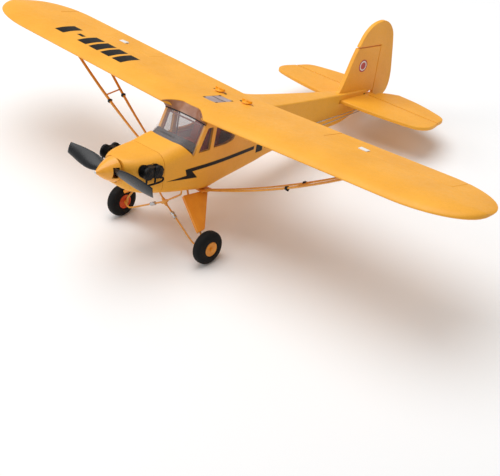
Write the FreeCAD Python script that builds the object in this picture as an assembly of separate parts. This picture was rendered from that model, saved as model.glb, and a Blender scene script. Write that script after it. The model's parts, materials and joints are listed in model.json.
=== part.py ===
import FreeCAD, Part
import math
import os

# Foam radio-control airplane: high wing, tail wheel, 650 mm span, millimetres.
# Every piece is drawn in the level airframe frame: +X to the airplane's left, nose towards -Y,
# +Z up, y = 0 at the wing's leading edge and z = 0 on the propeller's shaft line. At the end the
# whole airplane is pitched nose up until it stands on its three wheels, and moved so that the
# origin is the middle of its footprint at ground level.

os.makedirs("parts", exist_ok=True)
V = FreeCAD.Vector

# ---- driving dimensions -------------------------------------------------------------------
HALF_SPAN = 325.0
CHORD = 97.0
DIHEDRAL = 2.19                 # degrees, each side
WING_TOP = 51.9                 # height of the wing's crown at the centre
WING_LOW = 42.0                 # height of the wing's underside at the centre
TIP_RUN = 72.0                  # length of the rounded tip
AILERON_IN = 122.0
AILERON_OUT = 271.0
AILERON_HINGE_Y = 68.0
AILERON_BEVEL = 28.0            # degrees cut off under the hinge

FOAM = 3.0                      # fuselage skin
CABIN_HALF = 28.6
PANE = 0.8                      # thickness of the clear sheets
COWL_BACK = -41.0
COWL_FRONT = -79.0
TAIL_END = 287.0
COWL_WALL = 2.0
POST_Y = -4.0                   # foot of the front door posts
PILLAR_FOOT = (POST_Y, 9.6)     # (y, z) of the door post's ends
PILLAR_HEAD = (7.4, 40.5)
WINDOWS = [                     # (y, z) outlines of the two side windows
    [(1.4, 12.2), (17.0, 13.0), (18.0, 36.5), (10.6, 36.5)],
    [(21.6, 14.4), (38.7, 15.4), (48.6, 18.0), (51.0, 21.5), (48.6, 33.8), (22.6, 36.0)],
]
HATCH_HALF = 12.0
HATCH_Y0 = -37.0
HATCH_Y1 = -11.0
HATCH_TOP = -22.4
CYLINDER_Y = (-63.5, -51.5)     # stations of the dummy cylinders
CYLINDER_Z = 3.5
BRACE_R = 0.8
BRACE_X = 22.3                  # the cabin frame's distance from the centre line

SPINNER_TIP = -103.0
SPINNER_BASE = -80.5
SPINNER_R = 12.2
SPINNER_WALL = 1.2
PROP_Y = -85.0
PROP_R = 59.5
SHAFT_R = 1.5
SHAFT_FIT = 0.05
MOTOR_FOOT_R = 12.0
MOTOR_FOOT_END = -46.0
BEARING_TUBE_R = 3.4
CAN_R = 10.4
SCREW_R = 1.2

WHEEL_X = 63.0
WHEEL_Y = -4.1
WHEEL_Z = -72.1
WHEEL_R = 17.0
WHEEL_WIDTH = 12.0
HUB_R = 7.4
AXLE_R = 1.0
BRACING_R = 0.9
CROSS_APEX = V(0, -6.2, -48.5)
CROSS_BEND = V(47.0, -7.4, -74.0)
TAIL_WHEEL_Y = 317.0
TAIL_WHEEL_Z = 1.8
TAIL_WHEEL_R = 5.75

TAIL_Z = 24.0                   # mid-plane of the tailplane
TAIL_THICK = 4.0
ELEVATOR_Y = 288.0
FIN_THICK = 5.0
RUDDER_Y = 299.0
HORN_GAP_Z = 81.0               # level of the cut under the rudder's balance tip
GAP = 0.3                       # running gap beside a hinged surface

LEG_SLOPE = 1.134               # outward run of the gear leg for each unit of drop
LEG_THICK = 3.0
LEG_TOP = -31.6
LOCK_X = 19.0
LOCK_Y = 71.0
LOCK_SEAT_Z = 50.5              # underside of the lock's knob
LOCK_TAB_Z = 30.0
LOCK_TAB = 3.4                  # half length of the tab under the seat
LOCK_STEM_R = 2.0
STRUT_FOOT = V(29.2, 22.0, -29.8)
STRUT_TOP_X = 196.0
STRUT_FRONT_Y = 25.0
STRUT_REAR_Y = 57.0
STRUT_SAG = 5.5
FRONT_STRUT = (3.6, 2.2)        # width and thickness
REAR_STRUT = (3.2, 2.0)

SERVO_ARM = 7.0
ROD_R = 0.5
ELEVATOR_HORN_X = 12.5
ELEVATOR_HORN = 11.0            # hinge to rod hole
RUDDER_HORN = 9.0
RUDDER_HORN_Z = 15.2
AILERON_HORN = 11.0
LINK_X = 168.0                  # span station of the aileron linkage
ARM_THICK = 1.0
ARM_HOLE_R = 2.15
HORN_HOLE_R = 1.75
PIN_REACH = 2.4                 # length of the hooked end of a pushrod

SLOPE = math.tan(math.radians(DIHEDRAL))


# ---- small helpers ------------------------------------------------------------------------
def mirror(shape):
    """The same piece on the airplane's other side."""
    return shape.mirror(V(0, 0, 0), V(1, 0, 0))


def both(shape):
    """A piece and its mirror image in one node."""
    return Part.makeCompound([shape, mirror(shape)])


def box(x0, x1, y0, y1, z0, z1):
    """A block between pairs of planes."""
    return Part.makeBox(x1 - x0, y1 - y0, z1 - z0, V(x0, y0, z0))


def rod(start, end, radius):
    """A round bar between two points."""
    return Part.makeCylinder(radius, (end - start).Length, start, end - start)


def wire_rod(points, radius):
    """A bent wire: straight bars with a ball at each bend."""
    shape = rod(points[0], points[1], radius)
    for start, end in zip(points[1:-1], points[2:]):
        shape = shape.fuse(Part.makeSphere(radius, start))
        shape = shape.fuse(rod(start, end, radius))
    return shape.removeSplitter()


def plate(points, direction):
    """A flat polygon given thickness along a direction."""
    return Part.Face(Part.makePolygon(points + [points[0]])).extrude(direction)


def side_plate(outline, x0, x1):
    """An outline of (y, z) points between two x planes."""
    return plate([V(x0, y, z) for y, z in outline], V(x1 - x0, 0, 0))


def plan_plate(outline, z0, z1):
    """An outline of (x, y) points between two levels."""
    return plate([V(x, y, z0) for x, y in outline], V(0, 0, z1 - z0))


def revolve_y(profile):
    """A solid turned about the shaft line from (y, r) points."""
    face = Part.Face(Part.makePolygon([V(r, y, 0) for y, r in profile + profile[:1]]))
    return face.revolve(V(0, 0, 0), V(0, 1, 0), 360)


def revolve_x(profile, centre):
    """A solid turned about a wheel's axle from (x, r) points."""
    points = [centre + V(x, 0, r) for x, r in profile + profile[:1]]
    return Part.Face(Part.makePolygon(points)).revolve(centre, V(1, 0, 0), 360)


# ---- fuselage -----------------------------------------------------------------------------
# station y, half width, bottom z, top z, bottom corner radius, top corner radius
NOSE_STATIONS = [
    (COWL_BACK, 28.0, -24.0, 15.5, 9.0, 13.0),
    (-21.0, CABIN_HALF, -26.2, 20.7, 8.0, 13.0),
    (POST_Y, CABIN_HALF, -27.6, 24.0, 7.0, 13.0),
]
BODY_STATIONS = [
    (POST_Y, CABIN_HALF, -27.6, 46.0, 7.0, 1.5),
    (20.5, CABIN_HALF, -29.4, 46.0, 6.0, 1.5),
    (40.0, 27.6, -25.0, 46.0, 6.0, 1.5),
    (97.0, 21.8, -16.2, 45.0, 6.0, 1.5),
    (114.0, 19.4, -13.2, 41.6, 5.5, 1.5),
    (172.0, 13.2, -7.4, 36.6, 4.5, 1.5),
    (225.0, 8.2, -4.0, 33.2, 3.5, 1.5),
    (250.0, 6.0, -0.6, 31.8, 2.6, 1.2),
    (TAIL_END, 3.6, 13.6, 31.0, 1.8, 1.0),
]
COWL_STATIONS = [
    (COWL_FRONT, 14.5, -14.0, 11.0, 9.0, 9.0),
    (-76.0, 17.5, -16.8, 12.0, 10.0, 10.0),
    (-70.0, 21.5, -19.6, 12.8, 11.0, 11.0),
    (-60.0, 25.4, -22.0, 13.4, 11.0, 12.0),
    (COWL_BACK, 28.0, -24.0, 15.5, 9.0, 13.0),
]


def section(station, inset=0.0):
    """A rounded section across the fuselage, optionally shrunk by a wall thickness."""
    y, half, low, high, r_low, r_high = station
    half -= inset
    low += inset
    high -= inset
    r_low = max(r_low - inset, 0.6)
    r_high = max(r_high - inset, 0.6)
    diag = math.sqrt(0.5)
    edges = []
    corners = [(1, low, r_low, 1), (1, high, r_high, -1), (-1, high, r_high, -1), (-1, low, r_low, 1)]
    points = []
    for side, z, r, up in corners:
        centre = V(side * (half - r), y, z + up * r)
        flat = centre + V(0, 0, -up * r)
        wall = centre + V(side * r, 0, 0)
        middle = centre + V(side * r * diag, 0, -up * r * diag)
        points.append((flat, middle, wall) if (side > 0) == (up > 0) else (wall, middle, flat))
    for index, (start, middle, end) in enumerate(points):
        edges.append(Part.Arc(start, middle, end).toShape())
        edges.append(Part.LineSegment(end, points[(index + 1) % 4][0]).toShape())
    return Part.Wire(edges)


def hull(stations, inset=0.0):
    """A solid through a row of rounded sections."""
    return Part.makeLoft([section(s, inset) for s in stations], True, True)


def windshield_cut():
    """The space in front of the door posts and above the deck's rear edge."""
    outline = [(-60.0, 80.0), (-60.0, 60.0), PILLAR_FOOT, PILLAR_HEAD, (9.0, 80.0)]
    return side_plate(outline, -60.0, 60.0)


def cockpit_cut():
    """The hollow behind the windshield's foot that the deck leaves open."""
    edge = [(CABIN_HALF + 1.0, POST_Y - 0.6), (15.0, -18.6)]
    outline = [(-40.0, 60.0)] + [(-x, y) for x, y in edge] + edge[::-1] + [(40.0, 60.0)]
    return plan_plate(outline, PILLAR_FOOT[1], 80.0)


def fuselage_halves(wing_blank):
    """Two moulded foam shells, glued along the centre line."""
    nose = hull(NOSE_STATIONS).cut(cockpit_cut())
    body = hull(BODY_STATIONS).cut(windshield_cut())
    nose_room = [(COWL_BACK - 1.0,) + NOSE_STATIONS[0][1:]] + NOSE_STATIONS[1:]
    body_room = [s for s in BODY_STATIONS if s[0] < 230.0]
    shell = nose.fuse(body).cut(hull(nose_room, FOAM)).cut(hull(body_room, FOAM))
    shell = shell.cut(wing_blank)
    for outline in WINDOWS:
        shell = shell.cut(side_plate(outline, -60, 60))
    return shell


def split_fuselage(shell):
    """Pushrod slots, hatch opening and tail slot, then the cut along the centre line."""
    shell = shell.cut(box(-HATCH_HALF - GAP, HATCH_HALF + GAP, HATCH_Y0 - GAP, HATCH_Y1 + GAP, -40, -18))
    shell = shell.cut(box(-20, 20, 236.5, 310, TAIL_Z - TAIL_THICK / 2, TAIL_Z + TAIL_THICK / 2))
    for start, end in (elevator_rod_line(), rudder_rod_line()):
        shell = shell.cut(rod(start, end, ROD_R + 1.1))
    for side in (-1, 1):
        shell = shell.cut(lock_bore(side, 60.0, LOCK_TAB + 0.5))
    left = shell.common(box(0, 60, -60, 320, -60, 90))
    right = shell.common(box(-60, 0, -60, 320, -60, 90))
    return left, right


def nose_cowl():
    """Thin moulded cowl with the motor's opening, a chin inlet and the cylinders' openings."""
    room = [(COWL_FRONT + 2.0,) + COWL_STATIONS[0][1:]] + COWL_STATIONS[1:-1]
    room = room + [(COWL_BACK + 1.0,) + COWL_STATIONS[-1][1:]]
    cowl = hull(COWL_STATIONS).cut(hull(room, COWL_WALL))
    cowl = cowl.cut(rod(V(0, COWL_FRONT - 5, 0), V(0, COWL_FRONT + 12, 0), 9.0))
    cowl = cowl.cut(box(-5, 5, COWL_FRONT - 5, COWL_FRONT + 8, -12.5, -9.8))
    cowl = cowl.cut(both(engine_cylinders())).cut(cowl_screws())
    return max(cowl.Solids, key=lambda solid: solid.Volume)


def firewall():
    """Plywood plate that the motor is screwed to."""
    outline = NOSE_STATIONS[0][1:]
    return hull([(COWL_BACK + 0.2,) + outline, (COWL_BACK + 2.2,) + outline], FOAM)


# ---- motor, propeller and spinner ---------------------------------------------------------
def motor_mount():
    """Fixed motor foot with the bearing tube that the shaft runs in."""
    foot = rod(V(0, COWL_BACK + 0.2, 0), V(0, MOTOR_FOOT_END, 0), MOTOR_FOOT_R)
    tube = rod(V(0, MOTOR_FOOT_END, 0), V(0, -66.0, 0), BEARING_TUBE_R)
    return foot.fuse(tube).cut(rod(V(0, -30, 0), V(0, -70, 0), SHAFT_R + SHAFT_FIT))


def motor_stator():
    """Wound core fixed on the bearing tube, with nine slots."""
    core = revolve_y([(-64.0, BEARING_TUBE_R), (-64.0, 8.2), (-52.0, 8.2), (-52.0, BEARING_TUBE_R)])
    for index in range(9):
        slot = box(5.0, 9.5, -65.0, -51.0, -0.7, 0.7)
        slot.rotate(V(0, 0, 0), V(0, 1, 0), index * 40)
        core = core.cut(slot)
    return core


def motor_bell():
    """Turning can around the core, with its shaft."""
    can = revolve_y([(-70.0, 0), (-70.0, CAN_R - 1.0), (-69.0, CAN_R), (-51.0, CAN_R), (-51.0, CAN_R - 1.4),
                     (-67.5, CAN_R - 1.4), (-67.5, 0)])
    shaft = rod(V(0, MOTOR_FOOT_END, 0), V(0, -94.0, 0), SHAFT_R)
    return can.fuse(shaft)


def prop_collet():
    """Clamping collar and nut on the shaft."""
    flange = revolve_y([(-80.0, SHAFT_R), (-80.0, 5.0), (-82.5, 5.0), (-82.5, SHAFT_R)])
    corners = [math.radians(60 * index) for index in range(7)]
    hexagon = Part.makePolygon([V(3.6 * math.cos(a), -89.5, 3.6 * math.sin(a)) for a in corners])
    nut = Part.Face(hexagon).extrude(V(0, -3.0, 0)).cut(rod(V(0, -88, 0), V(0, -96, 0), SHAFT_R))
    return Part.makeCompound([flange, nut])


def blade():
    """One twisted blade along +X: lens sections turned from root to a square-cut tip."""
    wires = []
    for x, chord, angle, thick in ((4.0, 8.0, 34, 3.0), (14.0, 12.5, 31, 2.4), (28.0, 16.5, 26, 2.0),
                                   (44.0, 15.5, 20, 1.6), (PROP_R, 11.0, 14, 1.2)):
        c, s = math.cos(math.radians(angle)), math.sin(math.radians(angle))
        half = chord / 2
        outline = [(-half, 0), (-half * 0.5, thick / 2), (half * 0.3, thick / 2), (half, 0),
                   (half * 0.3, -thick / 2), (-half * 0.5, -thick / 2)]
        points = [V(x, PROP_Y - u * s + w * c, u * c + w * s) for u, w in outline]
        wires.append(Part.makePolygon(points + [points[0]]))
    return Part.makeLoft(wires, True, True)


def propeller():
    """Two blades on a hub with the shaft's bore."""
    turned = blade().rotated(V(0, 0, 0), V(0, 1, 0), 180)
    hub = rod(V(0, -82.5, 0), V(0, -89.5, 0), 5.0)
    return hub.fuse([blade(), turned]).cut(rod(V(0, -80, 0), V(0, -100, 0), SHAFT_R))


def ogive(tip, radius):
    """Points (y, r) of the spinner's curve from just behind a tip to the base."""
    steps = [index / 8 for index in range(1, 9)]
    return [(tip + (SPINNER_BASE - tip) * t, radius * (1.0 - (1.0 - t) ** 1.5)) for t in steps]


def spinner():
    """Hollow ogive cap with a slot each side for the blades."""
    inner_tip = SPINNER_TIP + 1.6 * SPINNER_WALL
    inner_r = SPINNER_R - SPINNER_WALL
    cap = revolve_y([(SPINNER_TIP, 0.0)] + ogive(SPINNER_TIP, SPINNER_R) + [(SPINNER_BASE, 0.0)])
    mouth = SPINNER_BASE + 1.0
    room = [(inner_tip, 0.0)] + ogive(inner_tip, inner_r) + [(mouth, inner_r), (mouth, 0.0)]
    cap = cap.cut(revolve_y(room))
    cap = cap.cut(box(-20, 20, PROP_Y - 3.4, SPINNER_BASE + 1, -5.2, 5.2))
    return cap.cut(rod(V(0, SPINNER_TIP - 1, 0), V(0, SPINNER_TIP + 6, 0), SCREW_R))


def spinner_screw():
    """Screw up the middle of the spinner."""
    return rod(V(0, SPINNER_TIP + 0.4, 0), V(0, SPINNER_TIP + 6.2, 0), SCREW_R)


# ---- cabin --------------------------------------------------------------------------------
WIND_FOOT = [V(-28.3, -5.0, 10.8), V(-15.0, -18.5, 21.3), V(15.0, -18.5, 21.3), V(28.3, -5.0, 10.8)]
WIND_HEAD = [V(-28.3, 6.4, 39.0), V(-14.0, 7.4, 40.2), V(14.0, 7.4, 40.2), V(28.3, 6.4, 39.0)]


def panel(points, thickness):
    """A flat pane through three or more corners, thickened inwards."""
    normal = (points[1] - points[0]).cross(points[2] - points[0])
    normal.normalize()
    return plate(points, normal * thickness)


def windshield():
    """Clear screen in facets from the deck up to the wing."""
    front = panel([WIND_FOOT[1], WIND_FOOT[2], WIND_HEAD[2], WIND_HEAD[1]], -PANE)
    low = panel([WIND_FOOT[2], WIND_FOOT[3], WIND_HEAD[3]], -PANE)
    high = panel([WIND_FOOT[2], WIND_HEAD[3], WIND_HEAD[2]], -PANE)
    return front.fuse([low, high, mirror(low), mirror(high)])


def roof_panel():
    """Tinted panel that closes the notch in the wing's leading edge."""
    points = [V(-27.0, 8.6, 40.6), V(27.0, 8.6, 40.6), V(11.0, 14.0, 47.6), V(-11.0, 14.0, 47.6)]
    return panel(points, PANE)


def side_windows():
    """Two smoked panes let into each side of the cabin."""
    panes = []
    for outline in WINDOWS:
        pane = side_plate(outline, CABIN_HALF - 3.2, CABIN_HALF - 2.4)
        panes += [pane, mirror(pane)]
    return Part.makeCompound(panes)


def windshield_braces():
    """Bent wire frame inside the cabin: a post behind each door post, joined along the roof."""
    frames = []
    for side in (-1, 1):
        x = side * BRACE_X
        route = [V(side * 25.4, 20.0, 9.0), V(x, 20.0, 9.0), V(x, 20.5, 37.5), V(x, 6.6, 37.5), V(x, -0.9, 15.0)]
        frames.append(wire_rod(route, BRACE_R))
    bar = rod(V(-BRACE_X, 6.6, 37.5), V(BRACE_X, 6.6, 37.5), BRACE_R)
    return bar.fuse(frames)


def dash_panel():
    """Black glare shield that follows the foot of the screen."""
    outline = [(-23.4, -3.0), (-13.6, -16.4), (13.6, -16.4), (23.4, -3.0), (23.4, 5.0), (-23.4, 5.0)]
    shelf = plan_plate(outline, 6.0, 20.8)
    crown = rod(V(0, -40, -11.0), V(0, 10, -9.5), 32.4)
    return shelf.common(crown)


def cabin_seat():
    """Moulded cockpit tray with a seat back."""
    tray = box(-20, 20, 8.0, 52.0, 0.0, 3.0)
    back = side_plate([(30.0, 3.0), (40.0, 3.0), (46.0, 33.0), (41.0, 34.5)], -15.0, 15.0)
    cushion = box(-15, 15, 12.0, 30.0, 3.0, 9.0)
    return tray.fuse([back, cushion])


# ---- dummy engine -------------------------------------------------------------------------
def engine_cylinders():
    """Two finned cylinders that stand out of one side of the cowl."""
    shape = box(23.0, 27.0, -60.0, -55.0, -1.0, 8.0)
    for y in CYLINDER_Y:
        core = rod(V(23.0, y, CYLINDER_Z), V(33.0, y, CYLINDER_Z), 5.0)
        head = box(29.8, 33.4, y - 5.4, y + 5.4, -1.4, 9.6)
        starts = [24.0 + 1.7 * index for index in range(4)]
        fins = [rod(V(x, y, CYLINDER_Z), V(x + 0.8, y, CYLINDER_Z), 6.2) for x in starts]
        shape = shape.fuse(core.fuse(fins + [head]))
    return shape


def exhaust_pipe():
    """Two stubs into a collector that ends in a small hook."""
    pipes = [rod(V(30.0, y, -1.4), V(30.5, y, -8.0), 0.9) for y in (-66.0, -55.0)]
    route = [V(30.8, -71.0, -8.6), V(30.5, -46.0, -7.8), V(30.2, -43.6, -5.6), V(30.2, -48.5, -3.6)]
    return wire_rod(route, 1.0).fuse(pipes)


def cowl_screws():
    """One small screw each side at the cowl's rear edge."""
    screw = rod(V(CABIN_HALF - 1.5, COWL_BACK - 1.6, 2.7), V(CABIN_HALF + 0.1, COWL_BACK - 1.6, 2.7), 1.1)
    return both(screw)


# ---- wing ---------------------------------------------------------------------------------
def wing_section(x, lead, chord, rise):
    """Aerofoil at a span station: crowned top, almost flat bottom, thin square rear edge."""
    depth = rise * (WING_TOP - WING_LOW)
    mid = (WING_TOP + WING_LOW) / 2 - 1.8 + SLOPE * abs(x)
    top = [(0.0, 0.0), (0.04, 0.30), (0.13, 0.53), (0.32, 0.68), (0.60, 0.50), (1.0, 0.18)]
    low = [(1.0, 0.04), (0.60, -0.20), (0.25, -0.32), (0.06, -0.26), (0.0, 0.0)]
    upper = [V(x, lead + chord * u, mid + depth * w) for u, w in top]
    lower = [V(x, lead + chord * u, mid + depth * w) for u, w in low]
    crown = Part.BSplineCurve()
    crown.interpolate(upper)
    belly = Part.BSplineCurve()
    belly.interpolate(lower)
    return Part.Wire([crown.toShape(), Part.LineSegment(upper[-1], lower[0]).toShape(), belly.toShape()])


def wing_half():
    """One side from the centre to the rounded tip."""
    wires = [wing_section(0.0, 0.0, CHORD, 1.0), wing_section(HALF_SPAN - TIP_RUN, 0.0, CHORD, 1.0)]
    for degrees in (25, 45, 60, 72, 82):
        angle = math.radians(degrees)
        chord = CHORD * math.cos(angle) ** 0.85
        x = HALF_SPAN - TIP_RUN + TIP_RUN * math.sin(angle) ** 1.05
        wires.append(wing_section(x, (CHORD - chord) / 2, chord, math.cos(angle) ** 0.5))
    return Part.makeLoft(wires, True, True)


def wing_blank():
    """The whole wing before anything is cut from it."""
    half = wing_half()
    return half.fuse(mirror(half))


def hinge_z(x):
    """Height of the wing's top skin at the aileron hinge."""
    return (WING_TOP + WING_LOW) / 2 - 1.8 + 0.415 * (WING_TOP - WING_LOW) + SLOPE * x


def aileron_room(x0, x1, front):
    """Wedge-fronted space behind the hinge line, from top skin to below the wing."""
    lean = math.tan(math.radians(AILERON_BEVEL)) * 12.0
    top = hinge_z(x0)
    rise = hinge_z(x1) - top
    first = [V(x0, front, top + 12), V(x0, front, top), V(x0, front + lean, top - 12), V(x0, 140, top - 12),
             V(x0, 140, top + 12)]
    last = [p + V(x1 - x0, 0, rise) for p in first]
    ends = [Part.makePolygon(face + face[:1]) for face in (first, last)]
    return Part.makeLoft(ends, True, True)


def left_aileron(half):
    """Hinged at the top skin, with its front face cut back below."""
    return half.common(aileron_room(AILERON_IN + 0.6, AILERON_OUT - 0.6, AILERON_HINGE_Y + 0.15))


def wing(half):
    """Both panels in one moulding, with aileron bays, spar holes and lock holes."""
    bay = box(AILERON_IN, AILERON_OUT, AILERON_HINGE_Y - 0.15, 140, 30, 90)
    panel_left = half.cut(bay)
    shape = panel_left.fuse(mirror(panel_left))
    notch = [(-31.0, -4.0), (-11.3, 14.6), (11.3, 14.6), (31.0, -4.0)]
    shape = shape.cut(plan_plate(notch, 30, 70))
    shape = shape.cut(skylight_room())
    for side in (-1, 1):
        shape = shape.cut(lock_bore(side, 70.0, LOCK_STEM_R + GAP))
        shape = shape.cut(servo_bay(side))
    for spar in wing_spars().Solids:
        shape = shape.cut(spar)
    return shape


def wing_spars():
    """Carbon rod let into each panel."""
    start = V(22.0, 27.0, 46.4 + SLOPE * 22.0)
    end = V(236.0, 27.0, 46.4 + SLOPE * 236.0)
    spar = rod(start, end, 1.5)
    return both(spar)


def skylight_room(inset=0.0):
    """The opening for the skylight, optionally a little smaller for the pane itself."""
    return box(-9.6 + inset, 9.6 - inset, 36.7 + inset, 62.0 - inset, 47.5, 60)


def skylight(blank):
    """Tinted pane flush with the top of the wing's centre, over the cabin."""
    return blank.common(skylight_room(0.1))


def wing_lock():
    """Quarter-turn knob, stem and cross tab on the left side."""
    stem = rod(V(LOCK_X, LOCK_Y, LOCK_TAB_Z), V(LOCK_X, LOCK_Y, LOCK_SEAT_Z + 1.0), LOCK_STEM_R)
    grip = box(LOCK_X - 6.0, LOCK_X + 6.0, LOCK_Y - 1.1, LOCK_Y + 1.1, LOCK_SEAT_Z + 1.0, LOCK_SEAT_Z + 3.6)
    disc = rod(V(LOCK_X, LOCK_Y, LOCK_SEAT_Z), V(LOCK_X, LOCK_Y, LOCK_SEAT_Z + 1.2), 5.2)
    tab = box(LOCK_X - LOCK_TAB, LOCK_X + LOCK_TAB, LOCK_Y - 1.1, LOCK_Y + 1.1, LOCK_TAB_Z, LOCK_TAB_Z + 2.4)
    return stem.fuse([grip, disc, tab])


def lock_bore(side, top, radius):
    """A round hole on a lock's axis, from below its tab up to a level."""
    return rod(V(side * LOCK_X, LOCK_Y, LOCK_TAB_Z - 0.5), V(side * LOCK_X, LOCK_Y, top), radius)


def wing_seat():
    """Plate across the cabin that the two locks grip from below."""
    seat = box(-LOCK_X - 4.5, LOCK_X + 4.5, LOCK_Y - 9.0, LOCK_Y + 9.0, 33.2, 35.4)
    seat = seat.common(hull([s for s in BODY_STATIONS if s[0] < 230.0], FOAM))
    for side in (-1, 1):
        seat = seat.cut(lock_bore(side, 40.0, LOCK_STEM_R + GAP))
    return seat


# ---- struts -------------------------------------------------------------------------------
def strut_point(top_y, t, drop=0.0):
    """Centre line of the front or rear strut, t from its foot to the wing."""
    front = top_y == STRUT_FRONT_Y
    foot = STRUT_FOOT + V(0, -2.25 if front else 2.25, 0)
    top = V(STRUT_TOP_X, top_y, WING_LOW + SLOPE * STRUT_TOP_X - (1.4 if front else 0.3))
    sag = 4 * STRUT_SAG * t * (1 - t)
    return foot + (top - foot) * t + V(0, 0, -sag - drop)


def strut(top_y, width, thick):
    """One strut: a flat strip that sags in a shallow arc from the fuselage to the wing."""
    low = [strut_point(top_y, t, thick / 2) for t in (0.0, 0.5, 1.0)]
    high = [strut_point(top_y, t, -thick / 2) for t in (0.0, 0.5, 1.0)]
    edges = [Part.Arc(*low).toShape(), Part.LineSegment(low[2], high[2]).toShape(),
             Part.Arc(high[2], high[1], high[0]).toShape(), Part.LineSegment(high[0], low[0]).toShape()]
    run = high[2] - high[0]
    across = run.cross(V(0, 0, 1))
    across.normalize()
    face = Part.Face(Part.Wire(edges))
    face.translate(across * (-width / 2))
    return face.extrude(across * width)


def wing_struts():
    """Front and rear strut of each side."""
    pair = [strut(STRUT_FRONT_Y, *FRONT_STRUT), strut(STRUT_REAR_Y, *REAR_STRUT)]
    return Part.makeCompound(pair + [mirror(piece) for piece in pair])


def strut_clips():
    """Black clips that join the jury link to the struts."""
    clips = []
    for top_y, t in ((STRUT_FRONT_Y, 0.58), (STRUT_REAR_Y, 0.60)):
        size = V(4.8, 5.6, 6.0)
        corner = strut_point(top_y, t) - size * 0.5
        clip = Part.makeBox(size.x, size.y, size.z, corner)
        clips.append(clip.cut(strut(top_y, *(FRONT_STRUT if top_y == STRUT_FRONT_Y else REAR_STRUT))))
    return clips


def jury_links():
    """Thin rod between the two struts of each side, with a clip on each strut."""
    link = rod(strut_point(STRUT_FRONT_Y, 0.625), strut_point(STRUT_REAR_Y, 0.645), 0.8)
    link = link.cut(strut(STRUT_FRONT_Y, *FRONT_STRUT)).cut(strut(STRUT_REAR_Y, *REAR_STRUT))
    pieces = [max(link.Solids, key=lambda piece: piece.Volume)] + strut_clips()
    return Part.makeCompound(pieces + [mirror(piece) for piece in pieces])


def strut_brackets():
    """Small plates on the belly that hold the struts and the gear legs."""
    bracket = box(18.0, STRUT_FOOT.x - 0.1, 14.0, 27.0, LEG_TOP, -29.5)
    return both(bracket)


# ---- landing gear -------------------------------------------------------------------------
def leg_x(z):
    """Outer face of the left gear leg at a height."""
    return 25.5 + LEG_SLOPE * (LEG_TOP - z)


def gear_leg():
    """Flat tapered fairing on the left leg."""
    outline = [(-8.0, LEG_TOP), (25.8, LEG_TOP), (-1.6, -56.8), (-11.6, -58.0)]
    points = [V(leg_x(z), y, z) for y, z in outline]
    inward = V(-1.0, 0.0, -LEG_SLOPE)
    inward.normalize()
    return plate(points, inward * LEG_THICK)


def gear_wire():
    """Spring wire down the leg's back with the axle at its end."""
    offset = (LEG_THICK + AXLE_R + 0.05) * math.hypot(1.0, LEG_SLOPE)
    return wire_rod([V(20.5, 2.0, -29.6), V(leg_x(-35.0) - offset, 1.6, -35.0),
                     V(leg_x(-57.0) - offset, WHEEL_Y, -57.0), V(54.4, WHEEL_Y, -66.0),
                     V(54.4, WHEEL_Y, WHEEL_Z), V(WHEEL_X + 8.2, WHEEL_Y, WHEEL_Z)], AXLE_R)


def cross_bracing():
    """Crossed wires from the belly through a moulded fitting and out to the two axles."""
    shape = rod(CROSS_APEX + V(0, -2.2, 0), CROSS_APEX + V(0, 2.2, 0), 3.0)
    for side in (-1, 1):
        top = V(side * 20.4, CROSS_APEX.y, -33.0)
        leg = wire_rod([top + V(0, 0, 5.3), top, CROSS_APEX], BRACING_R)
        bend = V(side * CROSS_BEND.x, CROSS_BEND.y, CROSS_BEND.z)
        route = [CROSS_APEX, bend, V(side * 51.8, -7.0, -72.6), V(side * 54.4, -6.1, WHEEL_Z)]
        shock = wire_rod(route, BRACING_R)
        shape = shape.fuse([leg, shock])
    return shape


def shock_sleeves():
    """Crimped connectors on the two shock wires."""
    path = CROSS_BEND - CROSS_APEX
    start = CROSS_APEX + path * 0.25
    end = CROSS_APEX + path * 0.39
    sleeve = rod(start, end, 2.0).cut(rod(CROSS_APEX, CROSS_BEND, BRACING_R))
    return both(sleeve)


def tyre():
    """Foam tyre: a rounded ring with a hub seat."""
    half = WHEEL_WIDTH / 2
    centre = V(WHEEL_X, WHEEL_Y, WHEEL_Z)
    outer = [(1.6, WHEEL_R), (half - 3, WHEEL_R - 1.0), (half - 0.4, WHEEL_R - 5), (half, HUB_R + 2),
             (half - 1, HUB_R)]
    inner = [(-x, r) for x, r in reversed(outer)]
    return revolve_x(inner + outer, centre)


def wheel_hub():
    """Plastic hub with a dished outer face, running on the axle."""
    centre = V(WHEEL_X, WHEEL_Y, WHEEL_Z)
    bore = AXLE_R + SHAFT_FIT
    profile = [(-5.6, bore), (-5.6, HUB_R), (5.4, HUB_R), (5.4, HUB_R - 1.2), (4.8, HUB_R - 1.6), (4.8, 2.6),
               (5.6, 2.2), (5.6, bore)]
    return revolve_x(profile, centre)


def axle_collars():
    """Two retaining collars on each axle."""
    rings = []
    for x0, x1 in ((WHEEL_X - 7.5, WHEEL_X - 6.0), (WHEEL_X + 6.0, WHEEL_X + 7.6)):
        ring = rod(V(x0, WHEEL_Y, WHEEL_Z), V(x1, WHEEL_Y, WHEEL_Z), 2.0)
        rings.append(ring.cut(rod(V(x0 - 1, WHEEL_Y, WHEEL_Z), V(x1 + 1, WHEEL_Y, WHEEL_Z), AXLE_R)))
    return Part.makeCompound(rings + [mirror(ring) for ring in rings])


# ---- tail ---------------------------------------------------------------------------------
STAB_LEAD = [(0.0, 238.0), (12.0, 239.0), (50.0, 243.0), (84.0, 249.4), (100.0, 254.6), (106.0, 262.0),
             (107.4, 271.0), (105.4, 281.0), (103.4, ELEVATOR_Y - GAP)]
ELEVATOR_EDGE = [(103.0, ELEVATOR_Y + GAP), (97.0, 306.0), (77.0, 315.0), (48.6, 321.5), (23.0, 323.0),
                 (12.5, 314.0), (8.4, 308.0), (8.4, 297.2), (0.0, 297.2)]


def both_sides(edge):
    """A symmetric outline from one side's (x, y) points."""
    return edge + [(-x, y) for x, y in reversed(edge) if x > 0]


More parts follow.
